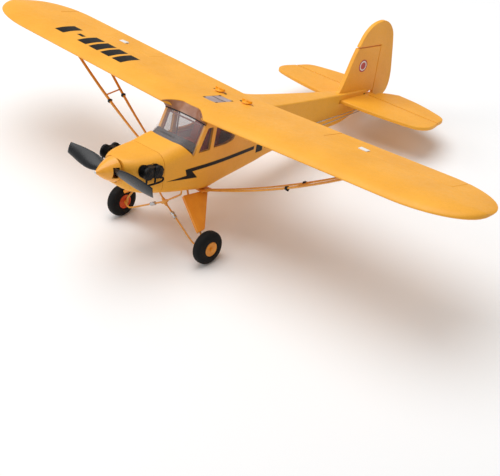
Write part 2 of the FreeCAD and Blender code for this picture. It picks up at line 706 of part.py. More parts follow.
def tailplane():
    """Fixed tail surface across the fuselage, in front of the elevator's hinge."""
    half = TAIL_THICK / 2
    return plan_plate(both_sides(STAB_LEAD), TAIL_Z - half, TAIL_Z + half)


def elevator():
    """Both halves and their joiner, hinged at the top skin and cut back below."""
    half = TAIL_THICK / 2
    edge = [(0.0, ELEVATOR_Y + GAP)] + ELEVATOR_EDGE
    shape = plan_plate(both_sides(edge), TAIL_Z - half, TAIL_Z + half)
    lean = math.tan(math.radians(AILERON_BEVEL)) * TAIL_THICK
    front = ELEVATOR_Y + GAP
    wedge = [(front - 1, TAIL_Z + half), (front, TAIL_Z + half), (front + lean, TAIL_Z - half - 0.01),
             (front - 1, TAIL_Z - half - 0.01)]
    return shape.cut(side_plate(wedge, -120, 120))


FIN_OUTLINE = [(234.0, 31.2), (239.5, 33.2), (242.7, 38.4), (245.6, 44.7), (249.4, 54.4), (254.7, 68.1),
               (260.2, HORN_GAP_Z - 0.6), (RUDDER_Y - GAP, HORN_GAP_Z - 0.6), (RUDDER_Y - GAP, 31.0),
               (TAIL_END, 31.0), (TAIL_END, 30.0), (250.0, 30.0)]
RUDDER_OUTLINE = [(RUDDER_Y + GAP, 14.6), (RUDDER_Y + GAP, HORN_GAP_Z + 0.6), (261.0, HORN_GAP_Z + 0.6),
                  (264.4, 87.5), (270.6, 97.3), (282.2, 106.0), (298.7, 109.0), (309.0, 104.8), (316.8, 95.8),
                  (319.9, 86.0), (323.9, 66.6), (327.4, 47.0), (327.5, 35.3), (324.5, 25.9), (316.0, 18.8),
                  (307.0, 14.6)]


def fin(shell):
    """Fixed fin, standing on the fuselage's back."""
    half = FIN_THICK / 2
    return side_plate(FIN_OUTLINE, -half, half).cut(shell)


def rudder():
    """Rudder with a balance tip over the fin and a pointed front edge at the hinge."""
    half = FIN_THICK / 2
    shape = side_plate(RUDDER_OUTLINE, -half, half)
    depth = math.tan(math.radians(32)) * half
    for side in (-1, 1):
        nose = [(0, RUDDER_Y), (side * (half + 0.1), RUDDER_Y), (side * (half + 0.1), RUDDER_Y + GAP + depth),
                (0, RUDDER_Y + GAP)]
        shape = shape.cut(plan_plate(nose, 0.0, HORN_GAP_Z + 0.6))
    taper = side_plate([(318.0, 0.0), (330.0, 0.0), (330.0, 120.0), (318.0, 120.0)], half - 0.6, half + 0.1)
    return shape.cut(taper).cut(mirror(taper))


def tail_wheel_wire():
    """Steering wire let into the rudder, down to the tail wheel's axle."""
    side = -FIN_THICK / 2 - 0.65
    return wire_rod([V(side, 304.0, 26.0), V(side, 305.5, 12.5), V(side, TAIL_WHEEL_Y, TAIL_WHEEL_Z),
                     V(2.6, TAIL_WHEEL_Y, TAIL_WHEEL_Z)], 0.6)


def tail_wheel():
    """Small solid wheel on the wire's end."""
    centre = V(0, TAIL_WHEEL_Y, TAIL_WHEEL_Z)
    return revolve_x([(-2.0, 0.65), (-2.0, TAIL_WHEEL_R - 1.2), (-1.0, TAIL_WHEEL_R), (1.0, TAIL_WHEEL_R),
                      (2.0, TAIL_WHEEL_R - 1.2), (2.0, 0.65)], centre)


# ---- controls -----------------------------------------------------------------------------
def elevator_rod_line():
    """Ends of the elevator pushrod: servo arm and horn."""
    return V(17.2, 75.0, -9.0), V(ELEVATOR_HORN_X + 1.6, ELEVATOR_Y, TAIL_Z + TAIL_THICK / 2 - ELEVATOR_HORN)


def rudder_rod_line():
    """Ends of the rudder pushrod: servo arm and horn."""
    return V(17.0, 92.0, 2.4), V(RUDDER_HORN, RUDDER_Y, RUDDER_HORN_Z - 0.6)


def aileron_rod_line():
    """Ends of the left aileron's pushrod: servo arm and horn."""
    low = hinge_z(LINK_X) - AILERON_HORN
    return V(LINK_X + 1.6, AILERON_HINGE_Y - 24.0, low), V(LINK_X + 1.6, AILERON_HINGE_Y, low)


def pushrod(start, end, inward):
    """Straight rod with a short pin at each end that hooks into the arm and the horn."""
    return wire_rod([start + inward, start, end, end + inward], ROD_R)


def rudder_pushrod():
    """Straight rod with a sideways pin at the arm and an upward pin at the horn."""
    start, end = rudder_rod_line()
    return wire_rod([start + V(-PIN_REACH, 0, 0), start, end, end + V(0, 0, 2.2)], ROD_R)


def horn_hole(centre, radius=HORN_HOLE_R):
    """A sideways hole for a pushrod's pin."""
    return rod(centre - V(4, 0, 0), centre + V(4, 0, 0), radius)


def elevator_horn():
    """Plate under the elevator with the pushrod's hole."""
    x0 = ELEVATOR_HORN_X - 0.5
    hole = V(ELEVATOR_HORN_X, ELEVATOR_Y, TAIL_Z + TAIL_THICK / 2 - ELEVATOR_HORN)
    low = TAIL_Z - TAIL_THICK / 2
    outline = [(ELEVATOR_Y + 3.0, low), (ELEVATOR_Y + 12.0, low), (hole.y + 2.4, hole.z - 2.2),
               (hole.y - 2.4, hole.z - 2.2), (hole.y - 2.4, hole.z + 2.4)]
    return side_plate(outline, x0, x0 + 1.0).cut(horn_hole(hole))


def rudder_horn():
    """Flat arm from the rudder's foot to the left, with the pushrod's hole."""
    hole = V(RUDDER_HORN, RUDDER_Y, RUDDER_HORN_Z)
    outline = [(FIN_THICK / 2, RUDDER_Y + 3.4), (FIN_THICK / 2, RUDDER_Y + 8.6), (hole.x + 2.4, hole.y + 2.4),
               (hole.x + 2.4, hole.y - 2.4), (hole.x - 2.4, hole.y - 2.4)]
    shape = plan_plate(outline, hole.z, hole.z + 1.0)
    return shape.cut(rod(hole - V(0, 0, 3), hole + V(0, 0, 3), 1.8))


def arm(pivot, end):
    """Servo arm in a plane of constant x from its pivot to the pushrod's hole."""
    across = V(ARM_THICK, 0, 0)
    eye = V(pivot.x, end.y, end.z)
    bar = box(pivot.x, pivot.x + ARM_THICK, pivot.y - 1.4, pivot.y + 1.4, end.z, pivot.z)
    shape = bar.fuse([rod(pivot, pivot + across, 2.6), rod(eye, eye + across, 3.1)])
    return shape.cut(horn_hole(end, ARM_HOLE_R))


def arm_pivot(rod_line):
    """Centre of the servo shaft that drives a pushrod."""
    return rod_line[0] + V(-2.1, 0, SERVO_ARM)


def servo_bay(side):
    """Pocket in the wing's underside for an aileron servo and its arm."""
    pivot = arm_pivot(aileron_rod_line())
    bay = box(pivot.x - 9.0, pivot.x - 0.2, pivot.y - 9.0, pivot.y + 9.0, 30, pivot.z + 3.0)
    slot = box(pivot.x - 0.2, pivot.x + 3.4, pivot.y - 4.0, pivot.y + 4.0, 30, pivot.z + 3.0)
    pocket = bay.fuse(slot)
    return mirror(pocket) if side < 0 else pocket


def aileron_servo():
    """Servo case that fills the left pocket."""
    pivot = arm_pivot(aileron_rod_line())
    return box(pivot.x - 9.0, pivot.x - 0.2, pivot.y - 9.0, pivot.y + 9.0, pivot.z - 5.2, pivot.z + 3.0)


def servos():
    """Four small servo cases: elevator and rudder in the cabin, one for each aileron."""
    cases = []
    for pivot in (arm_pivot(elevator_rod_line()), arm_pivot(rudder_rod_line())):
        corner = pivot - V(10.0, 14.0, 5.0)
        cases.append(Part.makeBox(9.7, 19.0, 10.0, corner))
    wing_case = aileron_servo()
    return Part.makeCompound(cases + [wing_case, mirror(wing_case)])


def aileron_horn():
    """Horn under the aileron and its white plate on the top skin."""
    hole = V(LINK_X, AILERON_HINGE_Y, hinge_z(LINK_X) - AILERON_HORN)
    skin = hole.z + AILERON_HORN - 5.6
    outline = [(AILERON_HINGE_Y + 4.2, skin), (AILERON_HINGE_Y + 12.0, skin + 1.4), (hole.y + 2.4, hole.z - 2.2),
               (hole.y - 2.4, hole.z - 2.2), (hole.y - 2.4, hole.z + 2.4)]
    plate_low = side_plate(outline, LINK_X - 0.5, LINK_X + 0.5).cut(horn_hole(hole))
    top = hinge_z(LINK_X)
    cap = box(LINK_X - 5.0, LINK_X + 5.0, AILERON_HINGE_Y + 1.6, AILERON_HINGE_Y + 7.0, top - 1.4, top + 0.7)
    return plate_low, cap


# ---- power and radio ----------------------------------------------------------------------
def battery():
    """Flat pack behind the firewall."""
    return box(-11.0, 11.0, -34.0, 8.0, -20.0, -9.0)


def receiver_board():
    """Receiver and speed controller board with two chips and a plug."""
    board = box(-12.0, 12.0, 14.0, 44.0, -18.6, -17.4)
    chips = [box(-8, 0, 20, 28, -17.4, -16.0), box(3, 8, 20, 26, -17.4, -16.2), box(-6, 6, 36, 43, -17.4, -13.0)]
    return board.fuse(chips)


def battery_hatch(outer):
    """Belly cover in front of the gear, held by magnets."""
    block = box(-HATCH_HALF, HATCH_HALF, HATCH_Y0, HATCH_Y1, -40, HATCH_TOP)
    return outer.common(block)


# ---- stance and export --------------------------------------------------------------------
def stance_angle():
    """Nose-up pitch, in degrees, that puts the main wheels and tail wheel on one plane."""
    run = TAIL_WHEEL_Y - WHEEL_Y
    rise = TAIL_WHEEL_Z - WHEEL_Z
    tangent = math.asin((WHEEL_R - TAIL_WHEEL_R) / math.hypot(run, rise))
    return math.degrees(math.atan2(rise, run) + tangent)


def pitched(point, degrees):
    """A level-frame point after the nose-up pitch about the x axis."""
    c, s = math.cos(math.radians(degrees)), math.sin(math.radians(degrees))
    return V(point.x, point.y * c + point.z * s, -point.y * s + point.z * c)


def to_ground(point):
    """A level-frame point in the finished part's frame."""
    degrees = stance_angle()
    wheel = pitched(V(0, WHEEL_Y, WHEEL_Z), degrees)
    front = pitched(V(0, SPINNER_TIP + 0.4, -1.2), degrees).y
    back = max(pitched(V(0, y, z), degrees).y for y, z in RUDDER_OUTLINE)
    return pitched(point, degrees) - V(0, (front + back) / 2, wheel.z - WHEEL_R)


def grounded(shape):
    """A level-frame shape moved into the finished part's frame."""
    turned = shape.copy()
    turned.rotate(V(0, 0, 0), V(1, 0, 0), -stance_angle())
    turned.translate(to_ground(V(0, 0, 0)))
    return turned


def fuselage_nodes(blank):
    """Foam shells, cover, cabin and what is inside them."""
    shell = fuselage_halves(blank)
    left, right = split_fuselage(shell)
    return {
        "fuselage_left": left, "fuselage_right": right, "battery_hatch": battery_hatch(shell),
        "nose_cowl": nose_cowl(), "cowl_screws": cowl_screws(), "firewall": firewall(),
        "windshield": windshield(), "roof_panel": roof_panel(), "side_windows": side_windows(),
        "windshield_braces": windshield_braces(), "dash_panel": dash_panel(), "cabin_seat": cabin_seat(),
        "battery": battery(), "receiver_board": receiver_board(), "fin": fin(shell),
        "engine_cylinders": both(engine_cylinders()),
        "exhaust_pipes": both(exhaust_pipe().cut(engine_cylinders())),
    }


def power_nodes():
    """Motor, propeller and what holds them."""
    return {
        "motor_base": Part.makeCompound([motor_mount(), motor_stator()]), "motor_bell": motor_bell(),
        "prop_hardware": Part.makeCompound([prop_collet(), spinner_screw()]),
        "propeller": propeller(), "spinner": spinner(),
    }


def wing_nodes(half, blank):
    """The wing with its fittings, struts and aileron linkages."""
    nodes = {
        "wing": wing(half), "wing_spars": wing_spars(), "wing_seat": wing_seat(), "skylight": skylight(blank),
        "wing_struts": wing_struts(), "jury_links": jury_links(), "strut_brackets": strut_brackets(),
    }
    flap = left_aileron(half)
    low_horn, top_plate = aileron_horn()
    start, end = aileron_rod_line()
    sides = {
        "wing_lock": wing_lock(), "aileron": flap,
        "aileron_horn": Part.makeCompound([low_horn.cut(flap), top_plate.cut(flap)]),
        "aileron_arm": arm(arm_pivot(aileron_rod_line()), start),
        "aileron_rod": pushrod(start, end, V(-PIN_REACH, 0, 0)),
    }
    for name, shape in sides.items():
        nodes["left_" + name] = shape
        nodes["right_" + name] = mirror(shape)
    return nodes


def gear_nodes():
    """Main landing gear."""
    nodes = {
        "gear_legs": both(gear_leg()), "gear_wires": both(gear_wire()), "cross_bracing": cross_bracing(),
        "shock_sleeves": shock_sleeves(), "axle_collars": axle_collars(),
    }
    for name, shape in (("tyre", tyre()), ("hub", wheel_hub())):
        nodes["left_" + name] = shape
        nodes["right_" + name] = mirror(shape)
    return nodes


def tail_nodes():
    """Tail surfaces with their linkages and the tail wheel."""
    elevator_start, elevator_end = elevator_rod_line()
    rudder_start = rudder_rod_line()[0]
    return {
        "tailplane": tailplane(), "elevator": elevator(), "elevator_horn": elevator_horn(),
        "rudder": rudder(), "rudder_horn": rudder_horn(),
        "tail_wheel_wire": tail_wheel_wire(), "tail_wheel": tail_wheel(),
        "elevator_pushrod": pushrod(elevator_start, elevator_end, V(-PIN_REACH, 0, 0)),
        "rudder_pushrod": rudder_pushrod(),
        "elevator_arm": arm(arm_pivot(elevator_rod_line()), elevator_start),
        "rudder_arm": arm(arm_pivot(rudder_rod_line()), rudder_start),
    }


def build():
    """Every node's shape in the level airframe frame."""
    blank = wing_blank()
    nodes = fuselage_nodes(blank)
    nodes.update(power_nodes())
    nodes.update(wing_nodes(wing_half(), blank))
    nodes.update(gear_nodes())
    nodes.update(tail_nodes())
    nodes["servos"] = servos()
    for name in ("wing", "fuselage_left", "fuselage_right"):
        nodes["roof_panel"] = nodes["roof_panel"].cut(nodes[name])
    return nodes


for name, shape in build().items():
    grounded(shape).exportStep("parts/%s.step" % name)
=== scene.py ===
import json
import math

import bmesh
import bpy
from mathutils import Matrix, Vector


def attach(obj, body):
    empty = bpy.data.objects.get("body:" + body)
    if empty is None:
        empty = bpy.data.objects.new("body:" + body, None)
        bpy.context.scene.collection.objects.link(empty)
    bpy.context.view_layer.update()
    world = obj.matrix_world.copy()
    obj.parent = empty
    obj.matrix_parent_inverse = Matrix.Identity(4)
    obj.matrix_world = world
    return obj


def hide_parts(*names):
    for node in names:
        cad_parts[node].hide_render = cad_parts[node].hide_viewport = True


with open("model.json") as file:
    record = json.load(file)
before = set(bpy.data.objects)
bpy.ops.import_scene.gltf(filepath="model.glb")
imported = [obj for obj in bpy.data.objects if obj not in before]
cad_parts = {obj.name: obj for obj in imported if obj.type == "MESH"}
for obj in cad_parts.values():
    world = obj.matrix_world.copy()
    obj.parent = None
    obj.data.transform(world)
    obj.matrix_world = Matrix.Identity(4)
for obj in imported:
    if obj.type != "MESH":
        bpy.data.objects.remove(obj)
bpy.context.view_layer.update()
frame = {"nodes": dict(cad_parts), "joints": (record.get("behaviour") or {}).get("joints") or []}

# ---- driving dimensions, millimetres in the level airframe frame ---------------------------
# +X to the airplane's left, nose towards -Y, +Z up from the shaft line, y = 0 at the wing's
# leading edge. The frame's own joints say where that frame stands on the ground.
MM = 0.001
PROP_Y = -85
HALF_SPAN = 325
CHORD = 97
SLOPE = math.tan(math.radians(2.19))
WING_MID = 45.15
WING_DEPTH = 9.9
TIP_RUN = 72
AILERON_IN = 122
AILERON_OUT = 271
AILERON_HINGE_Y = 68
CABIN_HALF = 28.6
POST_Y = -4
COWL_BACK = -41
COWL_FRONT = -79
TAIL_END = 287
FOAM_WALL = 3
SPINNER_TIP = -103
SPINNER_BASE = -80.5
SPINNER_R = 12.2
PROP_R = 59.5
WHEEL = (63, -4.1, -72.1)
WHEEL_R = 17
HUB_R = 7.4
TAIL_Z = 24
TAIL_THICK = 4
ELEVATOR_Y = 288
FIN_THICK = 5
RUDDER_Y = 299
HORN_GAP_Z = 81
GAP = 0.3
LEG_SLOPE = 1.134
LEG_TOP = -31.6
LOCK_X = 19
LOCK_Y = 71
STRUT_FOOT = (29.2, 22, -29.8)
STRUT_TOP_X = 196
STRUT_SAG = 5.5
BRACE_X = 22.3
HORN_X = 168                                 # the aileron horns' distance from the middle
TAIL_SCREW_Y = 282.8
HINGE_SLANT = math.tan(math.radians(28))     # of the ailerons' and the elevator's front faces
RUDDER_SLANT = math.tan(math.radians(32))
FLOOR = 12                                   # metres from the middle to the floor's edge
LIGHT_AIM = Vector((0, 0, 0.1))
SIDES = ((1, "left"), (-1, "right"))


def joint(name):
    return next(j for j in frame["joints"] if j["name"] == name)


ALONG = Vector(joint("propeller_spin")["axis"]).normalized()
UP = Vector(joint("rudder_hinge")["axis"]).normalized()
ORIGIN = Vector(joint("propeller_spin")["pos_m"]) - ALONG * PROP_Y * MM


def place(x, y, z):
    """A level-frame point, in millimetres, as a point of the row frame in metres."""
    return ORIGIN + Vector((1, 0, 0)) * (x * MM) + ALONG * (y * MM) + UP * (z * MM)


def new_object(name, data):
    made = bpy.data.objects.new(name, data)
    bpy.context.scene.collection.objects.link(made)
    return made


# ---- camera --------------------------------------------------------------------------------
AZIMUTH = math.radians(39.831)
ELEVATION = math.radians(24.037)
ROLL = math.radians(9.454)
DISTANCE = 1423.88
LENS = 94.627
AIM = (0, 132.706, -119.831)


def level_vector(x, y, z):
    return Vector((1, 0, 0)) * x + ALONG * y + UP * z


def add_camera():
    """The view of the reference: from the front left, above the wing."""
    sin_a, cos_a = math.sin(AZIMUTH), math.cos(AZIMUTH)
    sin_e, cos_e = math.sin(ELEVATION), math.cos(ELEVATION)
    back = level_vector(sin_a * cos_e, -cos_a * cos_e, sin_e)
    right = level_vector(cos_a, sin_a, 0)
    up = back.cross(right)
    tilted_right = right * math.cos(ROLL) + up * math.sin(ROLL)
    tilted_up = up * math.cos(ROLL) - right * math.sin(ROLL)
    data = bpy.data.cameras.new("camera")
    data.lens = LENS
    data.sensor_width = 36
    data.clip_start = 0.01
    data.clip_end = 50
    camera = new_object("camera", data)
    turn = Matrix((tilted_right, tilted_up, back)).transposed()
    camera.matrix_world = Matrix.Translation(place(*AIM) + back * DISTANCE * MM) @ turn.to_4x4()
    bpy.context.scene.camera = camera


# ---- materials -----------------------------------------------------------------------------
class Finish:
    """A Principled material in the making, with the piece's own coordinates in millimetres."""

    def __init__(self, name, settings=()):
        self.made = bpy.data.materials.new(name)
        self.made.use_nodes = True
        self.tree = self.made.node_tree
        self.shader = self.tree.nodes["Principled BSDF"]
        for socket, value in dict(settings).items():
            self.shader.inputs[socket].default_value = value
        where = self.node("TexCoord", {}).outputs["Object"]
        self.where = self.node("Mapping", {"Vector": where, "Scale": (1000, 1000, 1000)}).outputs["Vector"]

    def node(self, kind, inputs, **settings):
        """A node whose inputs are set, or linked where the value is another node's output."""
        made = self.tree.nodes.new("ShaderNode" + kind)
        for name, value in settings.items():
            setattr(made, name, value)
        for name, value in inputs.items():
            if isinstance(value, bpy.types.NodeSocket):
                self.tree.links.new(value, made.inputs[name])
            else:
                made.inputs[name].default_value = value
        return made

    def noise(self, size, detail=3, stretch=(1, 1, 1)):
        """Noise whose lumps are about `size` millimetres, squeezed along each axis by `stretch`."""
        where = self.node("Mapping", {"Vector": self.where, "Scale": stretch}).outputs["Vector"]
        inputs = {"Vector": where, "Scale": 1 / size, "Detail": detail, "Roughness": 0.55}
        return self.node("TexNoise", inputs).outputs["Fac"]

    def ramp(self, factor, *stops):
        """Colours along a factor: (position, (r, g, b)) each."""
        made = self.node("ValToRGB", {"Fac": factor})
        elements = made.color_ramp.elements
        while len(elements) < len(stops):
            elements.new(0.5)
        for element, (position, colour) in zip(elements, stops):
            element.position = position
            element.color = (*colour, 1)
        return made.outputs["Color"]

    def spread(self, factor, low, high, source=(0.3, 0.7)):
        """A factor remapped from a source range to another range of numbers."""
        inputs = {"Value": factor, "From Min": source[0], "From Max": source[1], "To Min": low,
                  "To Max": high}
        return self.node("MapRange", inputs).outputs["Result"]

    def mix(self, factor, under, over):
        """A plain colour laid over another one by a factor."""
        return self.node("Mix", {0: factor, 6: under, 7: (*over, 1)}, data_type="RGBA").outputs[2]

    def bump(self, height, strength, distance, under=None):
        """Relief of a depth in millimetres, on top of another relief if one is given."""
        inputs = {"Height": height, "Strength": strength, "Distance": distance * MM}
        if under:
            inputs["Normal"] = under
        normal = self.node("Bump", inputs).outputs["Normal"]
        self.tree.links.new(normal, self.shader.inputs["Normal"])
        return normal

    def surface(self, colour, roughness):
        self.tree.links.new(colour, self.shader.inputs["Base Color"])
        self.tree.links.new(roughness, self.shader.inputs["Roughness"])
        return self.made


def plastic(name, dark, light, roughness=(0.3, 0.42), gloss=0.5, lump=9, coat=0):
    """Moulded plastic or paint: faint cloudy colour, uneven gloss and a fine skin."""
    made = Finish(name, {"Specular IOR Level": gloss, "Coat Weight": coat, "Coat Roughness": 0.15})
    made.bump(made.noise(0.35, 2), 0.35, 0.02)
    cloud = made.ramp(made.noise(lump, 4), (0.32, dark), (0.68, light))
    return made.surface(cloud, made.spread(made.noise(lump * 0.4, 5), *roughness))


def foam(name, dark, light):
    """Moulded bead foam: close-packed beads with thin seams, satin skin, faint cloudiness."""
    made = Finish(name, {"Specular IOR Level": 0.42})
    warped = made.node("Mix", {0: 0.10, 4: made.where, 5: made.noise(6, 2)}, data_type="VECTOR").outputs[1]
    beads = {"Vector": warped, "Scale": 0.36}
    edge = made.node("TexVoronoi", beads, feature="DISTANCE_TO_EDGE").outputs["Distance"]
    tint = made.node("TexVoronoi", beads).outputs["Color"]
    cloud = made.ramp(made.noise(42), (0.3, dark), (0.7, light))
    beaded = made.mix(made.spread(tint, 0, 0.10, (0, 1)), cloud, dark)
    colour = made.mix(made.spread(edge, 0.16, 0, (0, 0.10)), beaded, [c * 0.72 for c in dark])
    grooves = made.bump(made.spread(edge, 0, 1, (0, 0.16)), 0.22, 0.12)
    made.bump(made.noise(0.5, 2), 0.20, 0.03, grooves)
    return made.surface(colour, made.spread(made.noise(5), 0.40, 0.56))


def rubber(name, dark, light):
    """Foam rubber: fine open pores and a dusty tread."""
    made = Finish(name, {"Specular IOR Level": 0.25})
    pores = made.node("TexVoronoi", {"Vector": made.where, "Scale": 1 / 0.6})
    made.bump(pores.outputs["Distance"], 0.5, 0.12)
    dust = made.noise(5, 5)
    return made.surface(made.ramp(dust, (0.35, dark), (0.7, light)), made.spread(dust, 0.62, 0.86))


def pane(name, dark, light, alpha, roughness=0.06):
    """Thin tinted sheet: smooth and see-through, with a faint haze."""
    made = Finish(name, {"Alpha": alpha, "Specular IOR Level": 0.3})
    haze = made.noise(14, 4)
    rough = made.spread(haze, roughness, roughness + 0.06)
    return made.surface(made.ramp(haze, (0.35, dark), (0.65, light)), rough)


def grained(name, stops, roughness, pattern, relief, metallic=0):
    """One pattern (size, detail, stretch) drawn out along the surface, with its relief."""
    made = Finish(name, {"Metallic": metallic})
    lines = made.noise(*pattern)
    made.bump(lines, *relief)
    return made.surface(made.ramp(lines, *stops), made.spread(lines, *roughness))


def metal(name, dark, light, roughness=(0.2, 0.36), stretch=(0.25, 4, 4)):
    """Drawn or turned metal with fine lines along it."""
    return grained(name, [(0.35, dark), (0.65, light)], roughness, (1.2, 4, stretch), (0.2, 0.03), 1)


def circuit(name):
    """Green circuit board: masked copper runs and pale pads."""
    made = Finish(name)
    runs = made.node("TexBrick", {
        "Vector": made.where, "Scale": 0.5, "Mortar Size": 0.06, "Color1": (0.006, 0.10, 0.03, 1),
        "Color2": (0.008, 0.07, 0.025, 1), "Mortar": (0.03, 0.25, 0.07, 1)}, offset=0.5)
    pads = made.node("TexVoronoi", {"Vector": made.where, "Scale": 0.5})
    dots = made.spread(pads.outputs["Distance"], 1, 0, (0.10, 0.14))
    made.bump(runs.outputs["Fac"], 0.3, 0.05)
    colour = made.mix(dots, runs.outputs["Color"], (0.62, 0.58, 0.42))
    return made.surface(colour, made.spread(dots, 0.42, 0.25, (0, 1)))


# name, darker colour, lighter colour, then roughness range, gloss, lump size and coat
PLASTICS = [
    ("orange_plastic", (0.74, 0.24, 0.008), (0.82, 0.29, 0.012), (0.36, 0.48)),
    ("knob_yellow", (0.86, 0.34, 0.006), (0.94, 0.40, 0.010), (0.30, 0.42)),
    ("hub_orange", (0.74, 0.27, 0.022), (0.82, 0.33, 0.034), (0.36, 0.48)),
    ("hub_red", (0.66, 0.07, 0.008), (0.76, 0.10, 0.012), (0.26, 0.36)),
    ("black_plastic", (0.0018, 0.0018, 0.0022), (0.0060, 0.0060, 0.0066), (0.34, 0.50), 0.22),
    ("blade_black", (0.0045, 0.0050, 0.0062), (0.0075, 0.0082, 0.0098), (0.25, 0.29), 0.40, 30),
    ("cockpit_red", (0.48, 0.024, 0.008), (0.60, 0.040, 0.012), (0.42, 0.58)),
    ("painted_wire", (0.66, 0.27, 0.030), (0.78, 0.36, 0.052), (0.32, 0.46), 0.5, 3),
    ("white_plastic", (0.70, 0.70, 0.68), (0.82, 0.82, 0.80), (0.34, 0.46)),
    ("servo_case", (0.012, 0.035, 0.11), (0.020, 0.055, 0.17), (0.22, 0.34)),
    ("badge_red", (0.42, 0.02, 0.012), (0.52, 0.03, 0.018), (0.34, 0.46)),
    ("spinner_yellow", (0.84, 0.34, 0.018), (0.92, 0.40, 0.026), (0.28, 0.40), 0.5, 9, 0.2),
]
MATERIALS = {name: plastic(name, *settings) for name, *settings in PLASTICS}
MATERIALS.update({
    # braces: very dark red-brown, painted shade that stands in for the shaded far pillars seen through the
    # screen
    "braces": plastic("brace_painted_shade", (0.10, 0.012, 0.006), (0.16, 0.022, 0.010), (0.3, 0.45)),
    "dash": plastic("dash_black", (0.0025, 0.0025, 0.0030), (0.0080, 0.0080, 0.0090), (0.40, 0.55), 0.2),
    "stripe": plastic("stripe_film", (0.0028, 0.0018, 0.0012), (0.0070, 0.0046, 0.0030), (0.42, 0.56), 0.2),
    "foam": foam("yellow_foam", (0.84, 0.365, 0.022), (0.93, 0.425, 0.034)),
    "tyre": rubber("tyre_foam", (0.0016, 0.0016, 0.0016), (0.0050, 0.0050, 0.0048)),
    "clear": pane("clear_sheet", (0.70, 0.62, 0.62), (0.80, 0.72, 0.72), 0.10, 0.20),
    "smoked": pane("smoked_sheet", (0.10, 0.07, 0.07), (0.15, 0.11, 0.11), 0.32),
    "tinted": pane("tinted_sheet", (0.36, 0.15, 0.085), (0.50, 0.25, 0.15), 0.74),
    "skylight": pane("skylight_sheet", (0.34, 0.26, 0.26), (0.46, 0.37, 0.36), 0.88, 0.2),
    "steel": metal("steel", (0.42, 0.42, 0.43), (0.66, 0.66, 0.67)),
    "aluminium": metal("aluminium", (0.62, 0.63, 0.65), (0.82, 0.83, 0.85), (0.24, 0.4)),
    "motor": metal("motor_can", (0.05, 0.05, 0.055), (0.13, 0.13, 0.14), (0.26, 0.42), (4, 0.3, 4)),
    "screw_dark": metal("screw_dark", (0.03, 0.03, 0.03), (0.09, 0.09, 0.09), (0.3, 0.5)),
    "carbon": grained("carbon_rod", [(0.35, (0.006, 0.006, 0.007)), (0.7, (0.05, 0.05, 0.055))],
                      (0.2, 0.38), (0.8, 4, (0.05, 1, 1)), (0.3, 0.05)),
    "plywood": grained("plywood", [(0.3, (0.36, 0.22, 0.10)), (0.5, (0.55, 0.38, 0.20)),
                                   (0.7, (0.64, 0.47, 0.28))],
                       (0.5, 0.7), (2.2, 5, (0.12, 1, 1)), (0.3, 0.06)),
    "battery_wrap": grained("battery_wrap", [(0.35, (0.01, 0.03, 0.12)), (0.65, (0.02, 0.06, 0.24))],
                            (0.16, 0.32), (7, 3, (0.4, 1.6, 1)), (0.6, 0.5)),
    "board": circuit("board"),
})


# ---- mesh helpers --------------------------------------------------------------------------
def mesh_object(name, shape, sharp=32):
    """An object of a (points, faces) shape given in level-frame millimetres."""
    data = bpy.data.meshes.new(name)
    data.from_pydata([place(*p) for p in shape[0]], [], shape[1])
    made = new_object(name, data)
    tidy(made, sharp)
    return made


def piece(name, shape, material, nodes=(), body="airframe", sharp=32):
    """A shaded object that rides on a body and stands for the CAD nodes it replaces."""
    made = mesh_object(name, shape, sharp)
    made.data.materials.append(MATERIALS[material])
    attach(made, body)
    if nodes:
        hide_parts(*nodes)
    return made


def tidy(made, sharp=32):
    """Outward faces, smooth where the surface bends less than `sharp` degrees."""
    work = bmesh.new()
    work.from_mesh(made.data)
    bmesh.ops.remove_doubles(work, verts=work.verts, dist=1e-6)
    bmesh.ops.recalc_face_normals(work, faces=work.faces)
    for face in work.faces:
        face.smooth = True
    for edge in work.edges:
        edge.smooth = len(edge.link_faces) != 2 or edge.calc_face_angle(0) < math.radians(sharp)
    work.to_mesh(made.data)
    work.free()


def round_edges(made, width, segments=3, angle=35):
    """A small radius on every edge sharper than an angle."""
    edge = made.modifiers.new("radius", "BEVEL")
    edge.width = width * MM
    edge.segments = segments
    edge.limit_method = "ANGLE"
    edge.angle_limit = math.radians(angle)
    edge.harden_normals = True


def carve(made, cutter, operation="DIFFERENCE"):
    """Boolean with a cutter shape, applied at once."""
    tool = mesh_object("cutter", cutter)
    step = made.modifiers.new("cut", "BOOLEAN")
    step.operation = operation
    step.solver = "EXACT"
    step.object = tool
    bpy.context.view_layer.update()
    graph = bpy.context.evaluated_depsgraph_get()
    data = bpy.data.meshes.new_from_object(made.evaluated_get(graph), preserve_all_data_layers=True,
                                           depsgraph=graph)
    made.modifiers.clear()
    made.data = data
    bpy.data.objects.remove(tool)


def grid(rings, caps=True):
    """Points and faces of a skin over closed rings that all have the same number of points."""
    count = len(rings[0])
    points = [p for ring in rings for p in ring]
    faces = []
    for row in range(len(rings) - 1):
        for column in range(count):
            after = (column + 1) % count
            faces.append((row * count + column, row * count + after, (row + 1) * count + after,
                          (row + 1) * count + column))
    if caps:
        faces.append(tuple(range(count - 1, -1, -1)))
        faces.append(tuple((len(rings) - 1) * count + i for i in range(count)))
    return points, faces


def prism(outline, low, high, point):
    """A flat outline given thickness; `point(a, b, c)` places outline a, b at level c."""
    count = len(outline)
    points = [point(a, b, c) for c in (low, high) for a, b in outline]
    faces = [tuple(range(count - 1, -1, -1)), tuple(range(count, 2 * count))]
    faces += [(i, (i + 1) % count, count + (i + 1) % count, count + i) for i in range(count)]
    return points, faces


def side_prism(outline, x0, x1):
    return prism(outline, x0, x1, lambda y, z, x: (x, y, z))


def plan_prism(outline, z0, z1):
    return prism(outline, z0, z1, lambda x, y, z: (x, y, z))


def block(x0, x1, y0, y1, z0, z1):
    return plan_prism([(x0, y0), (x1, y0), (x1, y1), (x0, y1)], z0, z1)


